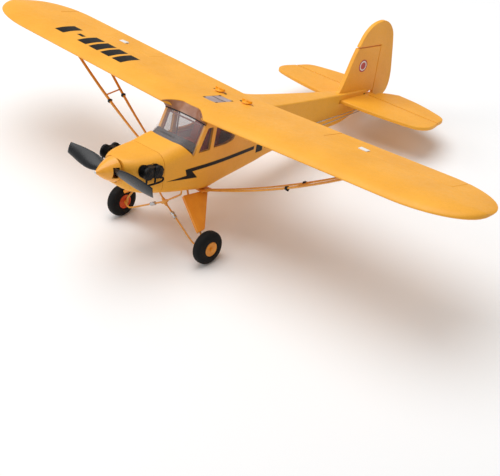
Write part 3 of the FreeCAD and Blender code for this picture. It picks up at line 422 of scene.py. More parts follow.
def through(points, steps=5, loop=False):
    """A smooth curve (centripetal spline) through points of any dimension."""
    if loop:
        wide = [points[-1], *points, points[0], points[1]]
    else:
        before = [2 * p - q for p, q in zip(points[0], points[1])]
        wide = [before, *points, [2 * q - p for p, q in zip(points[-2], points[-1])]]
    found = []
    for a, b, c, d in zip(wide, wide[1:], wide[2:], wide[3:]):
        reach = [max(math.dist(p, q), 1e-6) ** 0.5 for p, q in ((a, b), (b, c), (c, d))]
        first, second = [], []
        for pa, pb, pc, pd in zip(a, b, c, d):
            first.append((pb - pa) / reach[0] - (pc - pa) / (reach[0] + reach[1]) + (pc - pb) / reach[1])
            second.append((pc - pb) / reach[1] - (pd - pb) / (reach[1] + reach[2]) + (pd - pc) / reach[2])
        for step in range(steps):
            t = step / steps
            h = (2 * t**3 - 3 * t**2 + 1, t**3 - 2 * t**2 + t, 3 * t**2 - 2 * t**3, t**3 - t**2)
            found.append(tuple(h[0] * pb + h[1] * m * reach[1] + h[2] * pc + h[3] * n * reach[1]
                               for pb, pc, m, n in zip(b, c, first, second)))
    if not loop:
        found.append(tuple(points[-1]))
    return found


def between(table, at):
    """Straight interpolation in a table of (position, value) pairs, and the last value beyond its end."""
    for (a0, b0), (a1, b1) in zip(table, table[1:]):
        if a0 <= at <= a1:
            return b0 + (b1 - b0) * (at - a0) / max(a1 - a0, 1e-6)
    return table[-1][1]


def tube(path, radius, sides=12, flat=1):
    """A round bar, or one flattened upwards, along a path of level points; radius may change along it."""
    path = [Vector(p) for p in path]
    radii = radius if isinstance(radius, (list, tuple)) else [radius] * len(path)
    rings = []
    side = None
    for index, point in enumerate(path):
        before, after = path[max(index - 1, 0)], path[min(index + 1, len(path) - 1)]
        ahead = (after - before).normalized()
        if side is None:
            side = ahead.cross(Vector((0, 0, 1)) if abs(ahead.z) < 0.9 else Vector((0, 1, 0))).normalized()
        side = (side - ahead * side.dot(ahead)).normalized()
        up = side.cross(ahead)
        angles = [2 * math.pi * k / sides for k in range(sides)]
        r = radii[index]
        rings.append([tuple(point + side * math.cos(t) * r + up * math.sin(t) * r * flat) for t in angles])
    return grid(rings)


def turned(profile, centre, axis="X", sides=48):
    """A closed profile of (along, radius) points turned about an axis through a centre."""
    rings = []
    for k in range(sides):
        angle = 2 * math.pi * k / sides
        c, s = math.cos(angle), math.sin(angle)
        ring = []
        for along, r in profile:
            places = {"X": (along, r * c, r * s), "Y": (r * c, along, r * s), "Z": (r * c, r * s, along)}
            offset = places[axis]
            ring.append(tuple(p + q for p, q in zip(centre, offset)))
        rings.append(ring)
    rings.append(rings[0])
    return grid(rings, caps=False)


def drum(low, high, radius, centre, axis, sides):
    """A plain round bar about an axis."""
    return turned([(low, 0.01), (low, radius), (high, radius), (high, 0.01)], centre, axis, sides)


def mirrored(shape):
    """The shape's mirror image across the middle plane."""
    return [(-x, y, z) for x, y, z in shape[0]], [face[::-1] for face in shape[1]]


def both(shape):
    """The shape and its mirror image in one mesh."""
    return join(shape, mirrored(shape))


def join(*shapes):
    points, faces = [], []
    for more_points, more_faces in shapes:
        base = len(points)
        points += more_points
        faces += [tuple(base + i for i in face) for face in more_faces]
    return points, faces


# ---- wing ----------------------------------------------------------------------------------
PROFILE = [
    (1, 0.04), (0.60, -0.20), (0.25, -0.32), (0.06, -0.26), (0, 0), (0.04, 0.30), (0.13, 0.53), (0.32, 0.68),
    (0.60, 0.50), (1, 0.18),
]
PROFILE_CURVE = through([(CHORD * u, WING_DEPTH * w) for u, w in PROFILE], 6)
WING_TOP_CURVE = [(y, z) for y, z in PROFILE_CURVE[24:]]


def wing_ring(x, lead, chord, rise):
    return [(x, lead + y * chord / CHORD, WING_MID + z * rise + SLOPE * abs(x)) for y, z in PROFILE_CURVE]


def wing_rings():
    """Sections from the right tip to the left, round at both ends."""
    side = [wing_ring(x, 0, CHORD, 1) for x in range(0, 254, 23)]
    for degrees in range(6, 85, 6):
        angle = math.radians(degrees)
        chord = CHORD * math.cos(angle) ** 0.85
        x = HALF_SPAN - TIP_RUN + (TIP_RUN - 0.5) * math.sin(angle) ** 1.05
        side.append(wing_ring(x, (CHORD - chord) / 2, chord, math.cos(angle) ** 0.5))
    other = [[(-x, y, z) for x, y, z in ring] for ring in side[1:]]
    return other[::-1] + side


def wing_top(x, y):
    """Height of the wing's top skin inboard of the tips."""
    return WING_MID + between(WING_TOP_CURVE, y) + SLOPE * abs(x)


def aileron_wedge(x0, x1, front):
    """Room behind the hinge line whose front face leans back under the hinge."""
    lean = HINGE_SLANT * 12
    rings = []
    for x in (x0, x1):
        top = wing_top(x, AILERON_HINGE_Y)
        rings.append([(x, front, top + 12), (x, front, top), (x, front + lean, top - 12), (x, 140, top - 12),
                      (x, 140, top + 12)])
    return grid(rings)


NOTCH = [
    (-36, -6), (-31, -0.8), (-22, 5.6), (-14.5, 10.6), (-11, 12), (11, 12), (14.5, 10.6), (22, 5.6),
    (31, -0.8), (36, -6),
]


def add_wing():
    skin = grid(wing_rings())
    wing = piece("wing_skin", skin, "foam", ["wing"])
    for side in (-1, 1):
        low, high = sorted((side * AILERON_IN, side * AILERON_OUT))
        carve(wing, block(low, high, AILERON_HINGE_Y - 0.15, 140, 30, 90))
        carve(wing, drum(30, 70, 2.3, (side * LOCK_X, LOCK_Y, 0), "Z", 24))
    carve(wing, plan_prism(NOTCH, 30, 70))
    carve(wing, block(-9.6, 9.6, 36.7, 62, 47.5, 60))
    tidy(wing, 28)
    round_edges(wing, 0.45, 3, 40)
    for side, name in SIDES:
        flap = piece(name + "_aileron_skin", skin, "foam", [name + "_aileron"], body=name + "_aileron")
        wedge = aileron_wedge(AILERON_IN + 0.6, AILERON_OUT - 0.6, AILERON_HINGE_Y + 0.15)
        carve(flap, wedge if side > 0 else mirrored(wedge), "INTERSECT")
        tidy(flap, 28)
        round_edges(flap, 0.4, 3, 40)


def add_skylight():
    """Two tinted panes over the cabin with a thin bar between them and dark corner tabs."""
    x_edge, y_front, y_back = 9.4, 36.9, 61.8
    rows = [y_front + (y_back - y_front) * k / 12 for k in range(13)]
    top = [[(x, y, wing_top(x, y) - 0.05) for x in (-x_edge, -5, 0, 5, x_edge)] for y in rows]
    low = [[(x, y, z - 0.8) for x, y, z in row] for row in top]
    rings = [a + b[::-1] for a, b in zip(top, low)]
    piece("skylight_pane", grid(rings), "skylight", ["skylight"])
    middle = 50.4
    bar = [[(x, middle + dy, wing_top(x, middle + dy) + dz) for dy, dz in
            ((-0.5, 0.02), (-0.35, 0.18), (0.35, 0.18), (0.5, 0.02))] for x in (-9.3, -4, 0, 4, 9.3)]
    tabs = []
    for x in (-8.6, 8.6):
        for y in (38.2, 60.4):
            top_z = wing_top(x, y)
            tabs.append(block(x - 0.9, x + 0.9, y - 1.2, y + 1.2, top_z - 0.1, top_z + 0.15))
    piece("skylight_bar", join(grid(bar), *tabs), "dash")


def on_wing(x0, x1, y0, y1, steps=6):
    """A thin film on the wing's top over a rectangle."""
    rings = []
    for i in range(steps + 1):
        y = y0 + (y1 - y0) * i / steps
        row = [(x, y, wing_top(x, y)) for x in (x0 + (x1 - x0) * k / steps for k in range(steps + 1))]
        rings.append([(x, y, z + 0.08) for x, y, z in row] + [(x, y, z - 0.2) for x, y, z in reversed(row)])
    return grid(rings)


BAR_FRONT = 20
BAR_BACK = 47
BAR_FIRST = -114
BAR_PITCH = 18.6
BAR_COUNT = 6


def add_wing_bars():
    """Plain black blocks where such a wing carries its registration."""
    shapes = []
    for index in range(BAR_COUNT):
        x = BAR_FIRST - BAR_PITCH * index
        width, front, back = 14, BAR_FRONT, BAR_BACK
        if index == BAR_COUNT - 2:
            width, front, back = 9, 31, 36
        shapes.append(on_wing(x - width, x, front, back))
    piece("wing_bars", join(*shapes), "stripe")


def add_locks():
    """Butterfly knobs: a low boss, two thumb wings and a dark screw slot."""
    for side, name in SIDES:
        x = side * LOCK_X
        body = name + "_lock"
        profile = [(50.5, 0.01), (50.5, 4.6), (51.2, 5.2), (51.7, 4.9), (52, 3), (54.1, 2.2), (54.2, 0.01)]
        boss = turned(profile, (x, LOCK_Y, 0), "Z", 32)
        wings = []
        for turn in (0, math.pi):
            outline = through([(1, -1), (3.4, -1.5), (6, -0.9), (6.4, 0), (6, 0.9), (3.4, 1.5), (1, 1)], 3)
            c, s = math.cos(turn), math.sin(turn)
            turned_outline = [(x + a * c - b * s, LOCK_Y + a * s + b * c) for a, b in outline]
            wings.append(plan_prism(turned_outline, 51.2, 54))
        stem = drum(30.2, 51, 1.9, (x, LOCK_Y, 0), "Z", 24)
        tab = block(x - 3.4, x + 3.4, LOCK_Y - 1.1, LOCK_Y + 1.1, 30, 32.4)
        knob = piece(name + "_lock_knob", join(boss, *wings, stem, tab), "knob_yellow", [name + "_wing_lock"],
                     body=body)
        round_edges(knob, 0.3, 2)
        top = wing_top(x, LOCK_Y) + 0.08
        slots = [block(x + low, x + low + 2.3, LOCK_Y - 0.8, LOCK_Y + 0.8, 50.2, top) for low in (-9.2, 6.9)]
        piece(name + "_lock_marks", join(*slots), "dash")


# ---- fuselage ------------------------------------------------------------------------------
# station y, half width, bottom z, top z, bottom corner radius, top corner radius
NOSE_STATIONS = [
    (COWL_BACK + 0.5, 28, -24, 15.5, 9, 13), (-21, CABIN_HALF, -26.2, 20.7, 8, 13),
    (POST_Y, CABIN_HALF, -27.6, 24, 7, 13),
]
BODY_STATIONS = [
    (POST_Y + 0.01, CABIN_HALF, -27.6, 46, 7, 1.5), (20.5, CABIN_HALF, -29.2, 46, 6, 1.5),
    (40, 27.6, -25, 46, 6, 1.5), (97, 21.8, -16.2, 45, 6, 1.5), (114, 19.4, -13.2, 41.6, 5.5, 1.5),
    (172, 13.2, -7.4, 36.6, 4.5, 1.5), (225, 8.2, -4, 33.2, 3.5, 1.5), (250, 6, -0.6, 31.8, 2.6, 1.2),
    (TAIL_END, 3.6, 13.6, 31, 1.8, 1),
]
COWL_STATIONS = [
    (COWL_FRONT, 14.5, -14, 11, 9, 9), (-76, 17.5, -16.8, 12, 10, 10), (-70, 21.5, -19.6, 12.8, 11, 11),
    (-60, 25.4, -22, 13.4, 11, 12), (-50, 27.2, -23.2, 14.4, 10, 12.6), (COWL_BACK, 28, -24, 15.5, 9, 13),
]


def ring(station, inset=0):
    """A rounded section across the fuselage, optionally shrunk by a wall thickness."""
    y, half, low, high, r_low, r_high = station
    half -= inset
    low += inset
    high -= inset
    r_low = max(r_low - inset, 0.5)
    r_high = max(min(r_high, (high - low) / 2) - inset, 0.5)
    points = []
    corners = [(1, low, r_low, 1), (1, high, r_high, -1), (-1, high, r_high, -1), (-1, low, r_low, 1)]
    for corner, (side, z, r, up) in enumerate(corners):
        for k in range(8):
            t = math.radians(-90 + 90 * corner + 90 * k / 7)
            points.append((side * (half - r) + r * math.cos(t), y, z + up * r + r * math.sin(t)))
    return points


def skin(stations, inset=0, steps=6):
    return [ring(s, inset) for s in through(stations, steps)]


PILLAR_FOOT = (POST_Y, 9.6)
PILLAR_HEAD = (7.4, 40.5)
WINDOWS = [
    [(1.4, 12.2), (17, 13), (18, 36.5), (10.6, 36.5)],
    [(21.6, 14.4), (38.7, 15.4), (48.6, 18), (51, 21.5), (48.6, 33.8), (22.6, 36)],
]


def rounded(outline, radius=1.6, steps=3):
    """The outline with its corners rounded off."""
    found = []
    count = len(outline)
    for index in range(count):
        before, here, after = (Vector(outline[(index + k) % count]) for k in (-1, 0, 1))
        first = here + (before - here).normalized() * min(radius, (before - here).length / 2)
        last = here + (after - here).normalized() * min(radius, (after - here).length / 2)
        for k in range(steps + 1):
            t = k / steps
            found.append(tuple(first * (1 - t) ** 2 + here * 2 * t * (1 - t) + last * t * t))
    return found


def add_fuselage():
    """Foam shell: nose, open cockpit and tapering tail in one skin."""
    outside = skin(NOSE_STATIONS) + skin(BODY_STATIONS)
    shell = piece("fuselage_skin", grid(outside), "foam", ["fuselage_left", "fuselage_right"])
    front = [(COWL_BACK - 1,) + NOSE_STATIONS[0][1:]] + NOSE_STATIONS[1:]
    back = [s for s in BODY_STATIONS if s[0] < 226]
    carve(shell, grid(skin(front, FOAM_WALL) + skin(back, FOAM_WALL)))
    carve(shell, grid(wing_rings()))
    carve(shell, side_prism([(-60, 80), (-60, 60), PILLAR_FOOT, PILLAR_HEAD, (9, 80)], -60, 60))
    edge = through([(CABIN_HALF + 1, POST_Y - 0.6), (27, -9), (23, -14.6), (17.5, -17.9), (12, -18.8)], 4)
    rear = POST_Y + 0.005
    cockpit = [(-40, rear)] + [(-x, y) for x, y in edge] + edge[::-1] + [(40, rear)]
    carve(shell, plan_prism(cockpit, PILLAR_FOOT[1], 80))
    for outline in WINDOWS:
        carve(shell, side_prism(rounded(outline), -60, 60))
    carve(shell, block(-12.3, 12.3, -37.3, -10.7, -40, -18))
    carve(shell, block(-20, 20, 236.5, 310, TAIL_Z - TAIL_THICK / 2, TAIL_Z + TAIL_THICK / 2))
    for start_point, end_point in ROD_LINES:
        carve(shell, tube([start_point, end_point], 1.6, 16))
    tidy(shell, 30)
    round_edges(shell, 0.35, 2, 50)


ROD_LINES = [((17.2, 75, -9), (14.1, ELEVATOR_Y, 15)), ((17, 92, 2.4), (9, RUDDER_Y, 14.6))]


def add_cowl():
    """Thin moulded cowl with a rolled front lip, chin inlet and openings for the cylinders."""
    outside = skin(COWL_STATIONS, 0, 5)
    cowl = piece("cowl_skin", grid(outside), "foam", ["nose_cowl"])
    inner = [(COWL_FRONT + 2,) + COWL_STATIONS[0][1:]] + COWL_STATIONS[1:-1]
    inner = inner + [(COWL_BACK + 1,) + COWL_STATIONS[-1][1:]]
    carve(cowl, grid(skin(inner, 2, 5)))
    carve(cowl, drum(COWL_FRONT - 5, COWL_FRONT + 12, 9, (0, 0, 0), "Y", 48))
    carve(cowl, block(-5, 5, COWL_FRONT - 5, COWL_FRONT + 8, -12.6, -9.8))
    for side in (-1, 1):
        low, high = sorted((side * 20, side * 40))
        for y in (-63.5, -51.5):
            carve(cowl, drum(low, high, 5.6, (0, y, 3.5), "X", 32))
    tidy(cowl, 30)
    round_edges(cowl, 0.5, 3, 45)
    liner = [(-5.2, COWL_FRONT + 2.6, -9.4), (5.2, COWL_FRONT + 2.6, -9.4), (5.2, COWL_FRONT + 3.6, -12.9),
             (-5.2, COWL_FRONT + 3.6, -12.9)]
    back = [(x, y + 1, z) for x, y, z in liner]
    piece("chin_inlet", grid([liner, back]), "badge_red")


SKIN_CURVE = [(s[0], s[1]) for stations in (NOSE_STATIONS, BODY_STATIONS) for s in through(stations, 6)]


def wall_x(y):
    """Half width of the smoothed skin at a station."""
    return between(SKIN_CURVE, y)


def on_side(outline):
    """A thin film on the left side wall inside a (y, z) outline, in narrow strips."""
    work = bmesh.new()
    face = work.faces.new([work.verts.new((0, y, z)) for y, z in outline])
    for y in range(int(min(p[0] for p in outline)) + 2, int(max(p[0] for p in outline)), 4):
        cut = work.verts[:] + work.edges[:] + work.faces[:]
        bmesh.ops.bisect_plane(work, geom=cut, plane_co=(0, y, 0), plane_no=(0, 1, 0))
    work.verts.index_update()
    flat = [(v.co.y, v.co.z) for v in work.verts]
    faces = [tuple(v.index for v in f.verts) for f in work.faces]
    border = [tuple(v.index for v in e.verts) for e in work.edges if len(e.link_faces) == 1]
    work.free()
    count = len(flat)
    points = [(wall_x(y) + 0.09, y, z) for y, z in flat] + [(wall_x(y) - 0.3, y, z) for y, z in flat]
    back = [tuple(count + i for i in reversed(f)) for f in faces]
    rim = [(a, b, count + b, count + a) for a, b in border]
    return points, faces + back + rim


STRIPE = [(-36.3, -10.7), (-10.8, -8.9), (-13.2, -2.4), (88, 3.4), (88, -0.4), (-3.6, -5.7), (4.3, -13.4)]
SIDE_BARS = [
    (92, 103, -5, 3.6), (107, 118, -2.6, 5.4), (122, 127, 1.4, 3.4), (131, 142, 0.2, 7.6),
    (146, 157, 1.2, 8.4),
]


def add_side_marks():
    """A lightning stripe and plain black blocks on both side walls."""
    films = [on_side(STRIPE)]
    for y0, y1, z0, z1 in SIDE_BARS:
        films.append(on_side([(y0, z0), (y1, z0 + 0.5), (y1, z1 + 0.3), (y0, z1)]))
    piece("side_marks", both(join(*films)), "stripe")


def sheet_between(low_curve, high_curve, rows, thickness):
    """A curved pane between two edge curves, thickened inwards."""
    columns = [[Vector(a).lerp(Vector(b), k / rows) for k in range(rows + 1)] for a,
               b in zip(low_curve, high_curve)]
    last = len(columns) - 1
    rings = []
    for c, column in enumerate(columns):
        inside = []
        for r, p in enumerate(column):
            across = columns[min(c + 1, last)][r] - columns[max(c - 1, 0)][r]
            up = column[min(r + 1, rows)] - column[max(r - 1, 0)]
            inside.append(tuple(p - across.cross(up).normalized() * thickness))
        rings.append([tuple(p) for p in column] + inside[::-1])
    return grid(rings)


def symmetric(right_half):
    """A curve across the airplane from its points at x >= 0, middle first."""
    return [(-x, y, z) for x, y, z in right_half[:0:-1]] + right_half


WIND_FOOT = symmetric([
    (0, -19.6, 21.1), (7, -19.5, 21.1), (14, -19, 21), (20, -17, 20.4), (24.6, -12.6, 18.3), (27.4, -8, 14.8),
    (28.4, -4.6, 10.4),
])
WIND_HEAD = symmetric([
    (0, 7.8, 40.6), (7, 7.8, 40.6), (14, 7.6, 40.4), (19, 7.3, 40.2), (23.5, 7, 40), (26.6, 6.8, 39.8),
    (28.2, 6.6, 39.6),
])


def add_cabin():
    """Screen, roof panel, side windows, braces coloured as painted shade, dash and the red interior."""
    foot, head = through(WIND_FOOT, 3), through(WIND_HEAD, 3)
    piece("windshield_sheet", sheet_between(foot, head, 8, 0.6), "clear", ["windshield"])
    back = []
    for x, y, z in head:
        reach = max(min(12, 12 - (abs(x) - 11) * 0.66), 0.6)
        back.append((x, reach, wing_top(x, reach) - 0.5))
    piece("roof_sheet", sheet_between(head, back, 4, 0.7), "tinted", ["roof_panel"])
    rim = tube([(x, y - 0.2, z) for x, y, z in head], 0.55, 8)
    piece("screen_rim", rim, "dash")
    panes = [side_prism(rounded(outline), CABIN_HALF - 1.3, CABIN_HALF - 0.6) for outline in WINDOWS]
    piece("side_panes", both(join(*panes)), "smoked", ["side_windows"])
    x = BRACE_X
    route = [(25.3, 20, 9), (23.4, 20, 9), (x, 20, 10.4), (x, 20.2, 24), (x, 20.5, 36), (x, 19, 37.5),
             (x, 13, 37.5), (x, 7.6, 37.5), (x, 6.2, 36.2), (x, 3, 26.3), (x, -0.9, 15)]
    bar = tube([(-BRACE_X, 6.6, 37.4), (-8, 6.8, 37.5), (8, 6.8, 37.5), (BRACE_X, 6.6, 37.4)], 0.8)
    # the brace tubes' dark red-brown is painted shade: they stand in for the far pillars' shade seen through
    # the screen
    piece("brace_tubes", join(bar, both(tube(through(route, 3), 0.8))), "braces", ["windshield_braces"])
    add_dash()
    add_lining()


def add_lining():
    """Dark red lining on the cabin's walls below the windows, its floor and its rear wall."""
    low, high, rear = -3, 12, 56
    rings = []
    for k in range(13):
        y = -2 + (rear + 2) * k / 12
        x = wall_x(y) - FOAM_WALL - 0.25
        rings.append([(x, y, low), (x, y, high), (x - 0.8, y, high), (x - 0.8, y, low)])
    reach = wall_x(rear) - FOAM_WALL - 0.4
    plates = [block(-reach, reach, rear, rear + 0.8, low, 39), block(-reach, reach, -2, rear, low, low + 0.8)]
    piece("cabin_lining", join(both(grid(rings)), *plates), "cockpit_red")


# (distance behind the screen's foot, height above it) round the dash hood's section
DASH_ROLL = [
    (0.8, -0.6), (2.6, 0.9), (4.6, 2.6), (6.6, 3.9), (8.2, 4.4), (9.6, 4), (10.4, 2.6), (10.6, -2),
    (10.6, -8), (9.4, -8), (9.4, -2), (9.2, 2), (8, 3.2), (6.6, 2.7), (4.6, 1.4), (2.6, -0.3), (1.4, -1.4),
]


def add_dash():
    """Rolled black hood that follows the foot of the screen."""
    foot = [p for p in through(WIND_FOOT, 3) if abs(p[0]) < 27]
    rings = [[(x * 0.96, y + back, z + up) for back, up in DASH_ROLL] for x, y, z in foot]
    piece("dash_hood", grid(rings), "dash", ["dash_panel"], sharp=60)


# ---- engine, propeller and spinner ---------------------------------------------------------
def add_engine():
    """Two finned dummy cylinders a side with rocker covers, and the exhaust below them."""
    parts = []
    for y in (-64, -52):
        profile = [(22.6, 0.01), (22.6, 4.6)]
        for k in range(5):
            x = 23.4 + 1.55 * k
            profile += [(x, 4.6), (x + 0.12, 6.2), (x + 0.62, 6.3), (x + 0.75, 4.6)]
        profile += [(31.2, 4.8), (33, 4.2), (33.4, 3.2), (33.5, 0.01)]
        parts.append(turned(profile, (0, y, 3.6), "X", 36))
        cover = through([(y - 5.6, 1), (y - 5, 7), (y - 2.4, 9.8), (y + 2.4, 9.8), (y + 5, 7), (y + 5.6, 1),
                         (y + 3, -2.2), (y - 3, -2.2)], 3, True)
        parts.append(side_prism(cover, 29.8, 32.6))
        parts.append(side_prism([(y - 3.4, 1.4), (y - 1, 6.6), (y + 1, 6.6), (y + 3.4, 1.4)], 32.4, 33.8))
    parts.append(side_prism(rounded([(-62, -1.8), (-62, 9), (-54, 9), (-54, -1.8)]), 23, 31.2))
    cylinders = piece("engine_barrels", both(join(*parts)), "black_plastic", ["engine_cylinders"])
    round_edges(cylinders, 0.25, 2)
    pipes = []
    for y in (-66.4, -55.4):
        stub = [(30.6, y, -0.6), (31.6, y + 0.2, -4), (30.9, y + 0.6, -8.6)]
        pipes.append(tube(through(stub, 4), 0.95))
    pipes.append(tube(through([(30.6, -71.6, -9), (30.9, -60, -8.4), (30.8, -48, -7.6), (30.5, -44.6, -6.8),
                               (30.3, -43.4, -5.4), (30.2, -44.4, -4), (30.2, -47.6, -3.5)], 4), 1))
    piece("exhaust_tubes", both(join(*pipes)), "black_plastic", ["exhaust_pipes"])


BLADE = [
    (4, 8, 34, 3.6, 0), (9, 9.8, 33, 3.2, 0.1), (14, 12.5, 31, 2.7, 0.3), (21, 15.4, 28.5, 2.3, 0.5),
    (28, 16.6, 26, 2, 0.6), (35, 16.4, 23, 1.8, 0.5), (43, 15.2, 20, 1.6, 0.2), (51, 13.2, 17, 1.4, -0.2),
    (57, 11.6, 15, 1.2, -0.4), (PROP_R, 10.8, 14, 1, -0.5),
]


def blade_rings():
    """Twisted aerofoil sections from the hub to a square-cut tip."""
    rings = []
    for x, chord, degrees, thick, shift in through(BLADE, 3):
        c, s = math.cos(math.radians(degrees)), math.sin(math.radians(degrees))
        row = []
        for k in range(28):
            t = 2 * math.pi * k / 28
            u = chord / 2 * math.cos(t) + shift
            w = thick / 2 * math.sin(t) * (1 + 0.25 * math.cos(t)) + 0.5 * math.cos(t) ** 2
            row.append((x, PROP_Y - u * s + w * c, u * c + w * s))
        rings.append(row)
    return rings


def add_propeller():
    one = grid(blade_rings())
    other = ([(-x, y, -z) for x, y, z in one[0]], one[1])
    hub = turned([(-82.5, 1.6), (-82.5, 5), (-89, 5), (-89.5, 4.5), (-89.5, 1.6)], (0, 0, 0), "Y", 40)
    blades = piece("prop_blades", join(one, other, hub), "blade_black", ["propeller"], body="propeller")
    round_edges(blades, 0.35, 2, 50)
    length = SPINNER_BASE - SPINNER_TIP
    outer = [(SPINNER_TIP + length * (k / 20) ** 1.4, SPINNER_R * (1 - (1 - (k / 20) ** 1.4) ** 1.5))
             for k in range(1, 21)]
    outer[-1] = (SPINNER_BASE - 1.2, SPINNER_R)
    profile = [(SPINNER_TIP + 0.9, 1.2)] + [p for p in outer if p[1] > 1.7]
    profile += [(SPINNER_BASE - 0.4, SPINNER_R), (SPINNER_BASE, SPINNER_R - 0.4),
                (SPINNER_BASE, SPINNER_R - 1.6)]
    inner = [(y + 1.4, max(r - 1.3, 1.2)) for y, r in outer[::-1] if r > 3]
    profile += [(SPINNER_BASE - 0.2, SPINNER_R - 1.7)] + inner + [(SPINNER_TIP + 6, 1.2)]
    cone = piece("spinner_shell", turned(profile, (0, 0, 0), "Y", 64), "spinner_yellow", ["spinner"],
                 body="propeller")
    carve(cone, block(-20, 20, PROP_Y - 3.4, SPINNER_BASE - 1.4, -5.4, 5.4))
    tidy(cone, 30)
    round_edges(cone, 0.3, 2, 45)


# ---- struts and landing gear ---------------------------------------------------------------
def strut_point(front, t):
    """A point a part t of the way up the front or the rear strut, with its sag."""
    top_y = 25 if front else 57
    foot = Vector(STRUT_FOOT) + Vector((0, -2.25 if front else 2.25, 0))
    top = Vector((STRUT_TOP_X, top_y, 42 + SLOPE * STRUT_TOP_X - (1.4 if front else 0.3)))
    return foot + (top - foot) * t + Vector((0, 0, -4 * STRUT_SAG * t * (1 - t)))


def block_at(point, x0, x1, half_y, z0, z1):
    """A block given by its reach from a point."""
    x, y, z = point
    return block(x + x0, x + x1, y - half_y, y + half_y, z + z0, z + z1)


def add_struts():
    """Sagging wing struts with end plates, jury links and their clips."""
    bars, clips = [], []
    for front, width in ((True, 3.6), (False, 3.2)):
        steps = [k / 24 for k in range(25)]
        path = [strut_point(front, t) for t in steps]
        radii = [width / 2 * (0.86 + 0.14 * min(1, max(0, (t - 0.4) / 0.15))) for t in steps]
        bars.append(tube(path, radii, 14, flat=0.62))
        bars += [block_at(path[-1], -3.4, 3.8, 2.6, -0.5, 0.9), block_at(path[0], -1.2, 2.6, 2, -1, 1.1)]
        middle = strut_point(front, 0.58 if front else 0.60)
        clips += [block_at(middle, -1.5, 1.5, 2.1, -1.6, 1.6), block_at(middle, -0.9, 2.2, 0.7, -2.6, -1)]
    struts = piece("strut_bars", both(join(*bars)), "painted_wire", ["wing_struts"])
    round_edges(struts, 0.3, 2)
    link = tube([strut_point(True, 0.625), strut_point(False, 0.645)], 0.8)
    piece("jury_rods", both(link), "painted_wire", ["jury_links"])
    clamps = piece("strut_clamps", both(join(*clips)), "black_plastic")
    round_edges(clamps, 0.35, 3)


def leg_x(z):
    return 25.5 + LEG_SLOPE * (LEG_TOP - z)


def add_gear():
    """Flat tapered leg fairings, crossed shock wires and the moulded fitting between them."""
    outline = rounded([(-8, LEG_TOP), (25.8, LEG_TOP), (-1.6, -56.8), (-11.6, -58)], 1.2, 3)
    inward = Vector((-1, 0, -LEG_SLOPE)).normalized() * 3
    outside = [(leg_x(z), y, z) for y, z in outline]
    inside = [(x + inward.x, y, z + inward.z) for x, y, z in outside]
    legs = piece("leg_fairings", both(grid([outside, inside])), "orange_plastic", ["gear_legs"])
    round_edges(legs, 0.7, 3)
    apex = (0, -6.2, -48.5)
    upper = [(20.4, -6.2, -28), (20.2, -6.2, -32.4), (18, -6.2, -34.6), (8, -6.2, -42.2), apex]
    lower = [apex, (24, -6.8, -61.6), (43, -7.4, -72), (47.6, -7.3, -73.8), (51.8, -7, -72.8),
             (54.4, -6.1, -72.1)]
    wires = [both(tube(through(path, 4), 0.9)) for path in (upper, lower)]
    for turn in (0.65, math.pi - 0.65):
        arm_path = [(math.cos(turn) * r, -6.2, -48.5 + math.sin(turn) * r) for r in (-4.6, -2, 0, 2, 4.6)]
        wires.append(tube(arm_path, [1.3, 1.9, 2.3, 1.9, 1.3]))
    piece("cross_wires", join(*wires), "painted_wire", ["cross_bracing"])
    start_point, end_point = Vector(apex), Vector((47, -7.4, -74))
    stops = (0.25, 0.262, 0.275, 0.305, 0.32, 0.335, 0.365, 0.378, 0.39)
    path = [start_point.lerp(end_point, t) for t in stops]
    sleeves = tube(path, [1.5, 2, 2, 2, 1.6, 2, 2, 2, 1.5], 18)
    piece("crimp_sleeves", both(sleeves), "steel", ["shock_sleeves"])


def add_wheels():
    """Foam tyres with rounded shoulders on dished two-tone hubs."""
    tread = [(-5, HUB_R - 0.2), (-5.7, HUB_R + 1), (-6, HUB_R + 2.6), (-5.8, 12), (-5.1, 14.3), (-3.9, 16),
             (-2.2, 16.85), (0, WHEEL_R), (2.2, 16.85), (3.9, 16), (5.1, 14.3), (5.8, 12),
             (6, HUB_R + 2.6), (5.7, HUB_R + 1), (5, HUB_R - 0.2)]
    tread = through(tread, 2) + [(0, HUB_R - 0.3)]
    face = [(4.2, 1.1), (5.5, 1.1), (5.6, 1.7), (5.45, 2.4), (5.4, 5.6), (5.55, 6.3), (5.8, 6.7), (5.8, 7.1),
            (5.5, HUB_R), (4.2, HUB_R)]
    back = [(-5.6, 1.1), (-5.7, 3), (-5, 3.4), (-5, 6.2), (-5.7, 6.6), (-5.7, HUB_R), (4.2, HUB_R),
            (4.2, 1.1)]
    for side, name in SIDES:
        centre = (side * WHEEL[0], WHEEL[1], WHEEL[2])
        body = name + "_wheel"

        def spun(profile):
            return turned([(side * a, r) for a, r in profile], centre, "X", 64)
        piece(name + "_tyre_foam", spun(tread), "tyre", [name + "_tyre"], body=body)
        piece(name + "_hub_disc", spun(face), "hub_orange", [name + "_hub"], body=body)
        piece(name + "_hub_drum", spun(back), "hub_red", body=body)
        bolt = [(5.2, 0.01), (5.2, 1), (6.2, 1), (6.5, 0.7), (6.5, 0.35), (6.3, 0.3), (6.3, 0.01)]
        piece(name + "_axle_bolt", spun(bolt), "screw_dark")


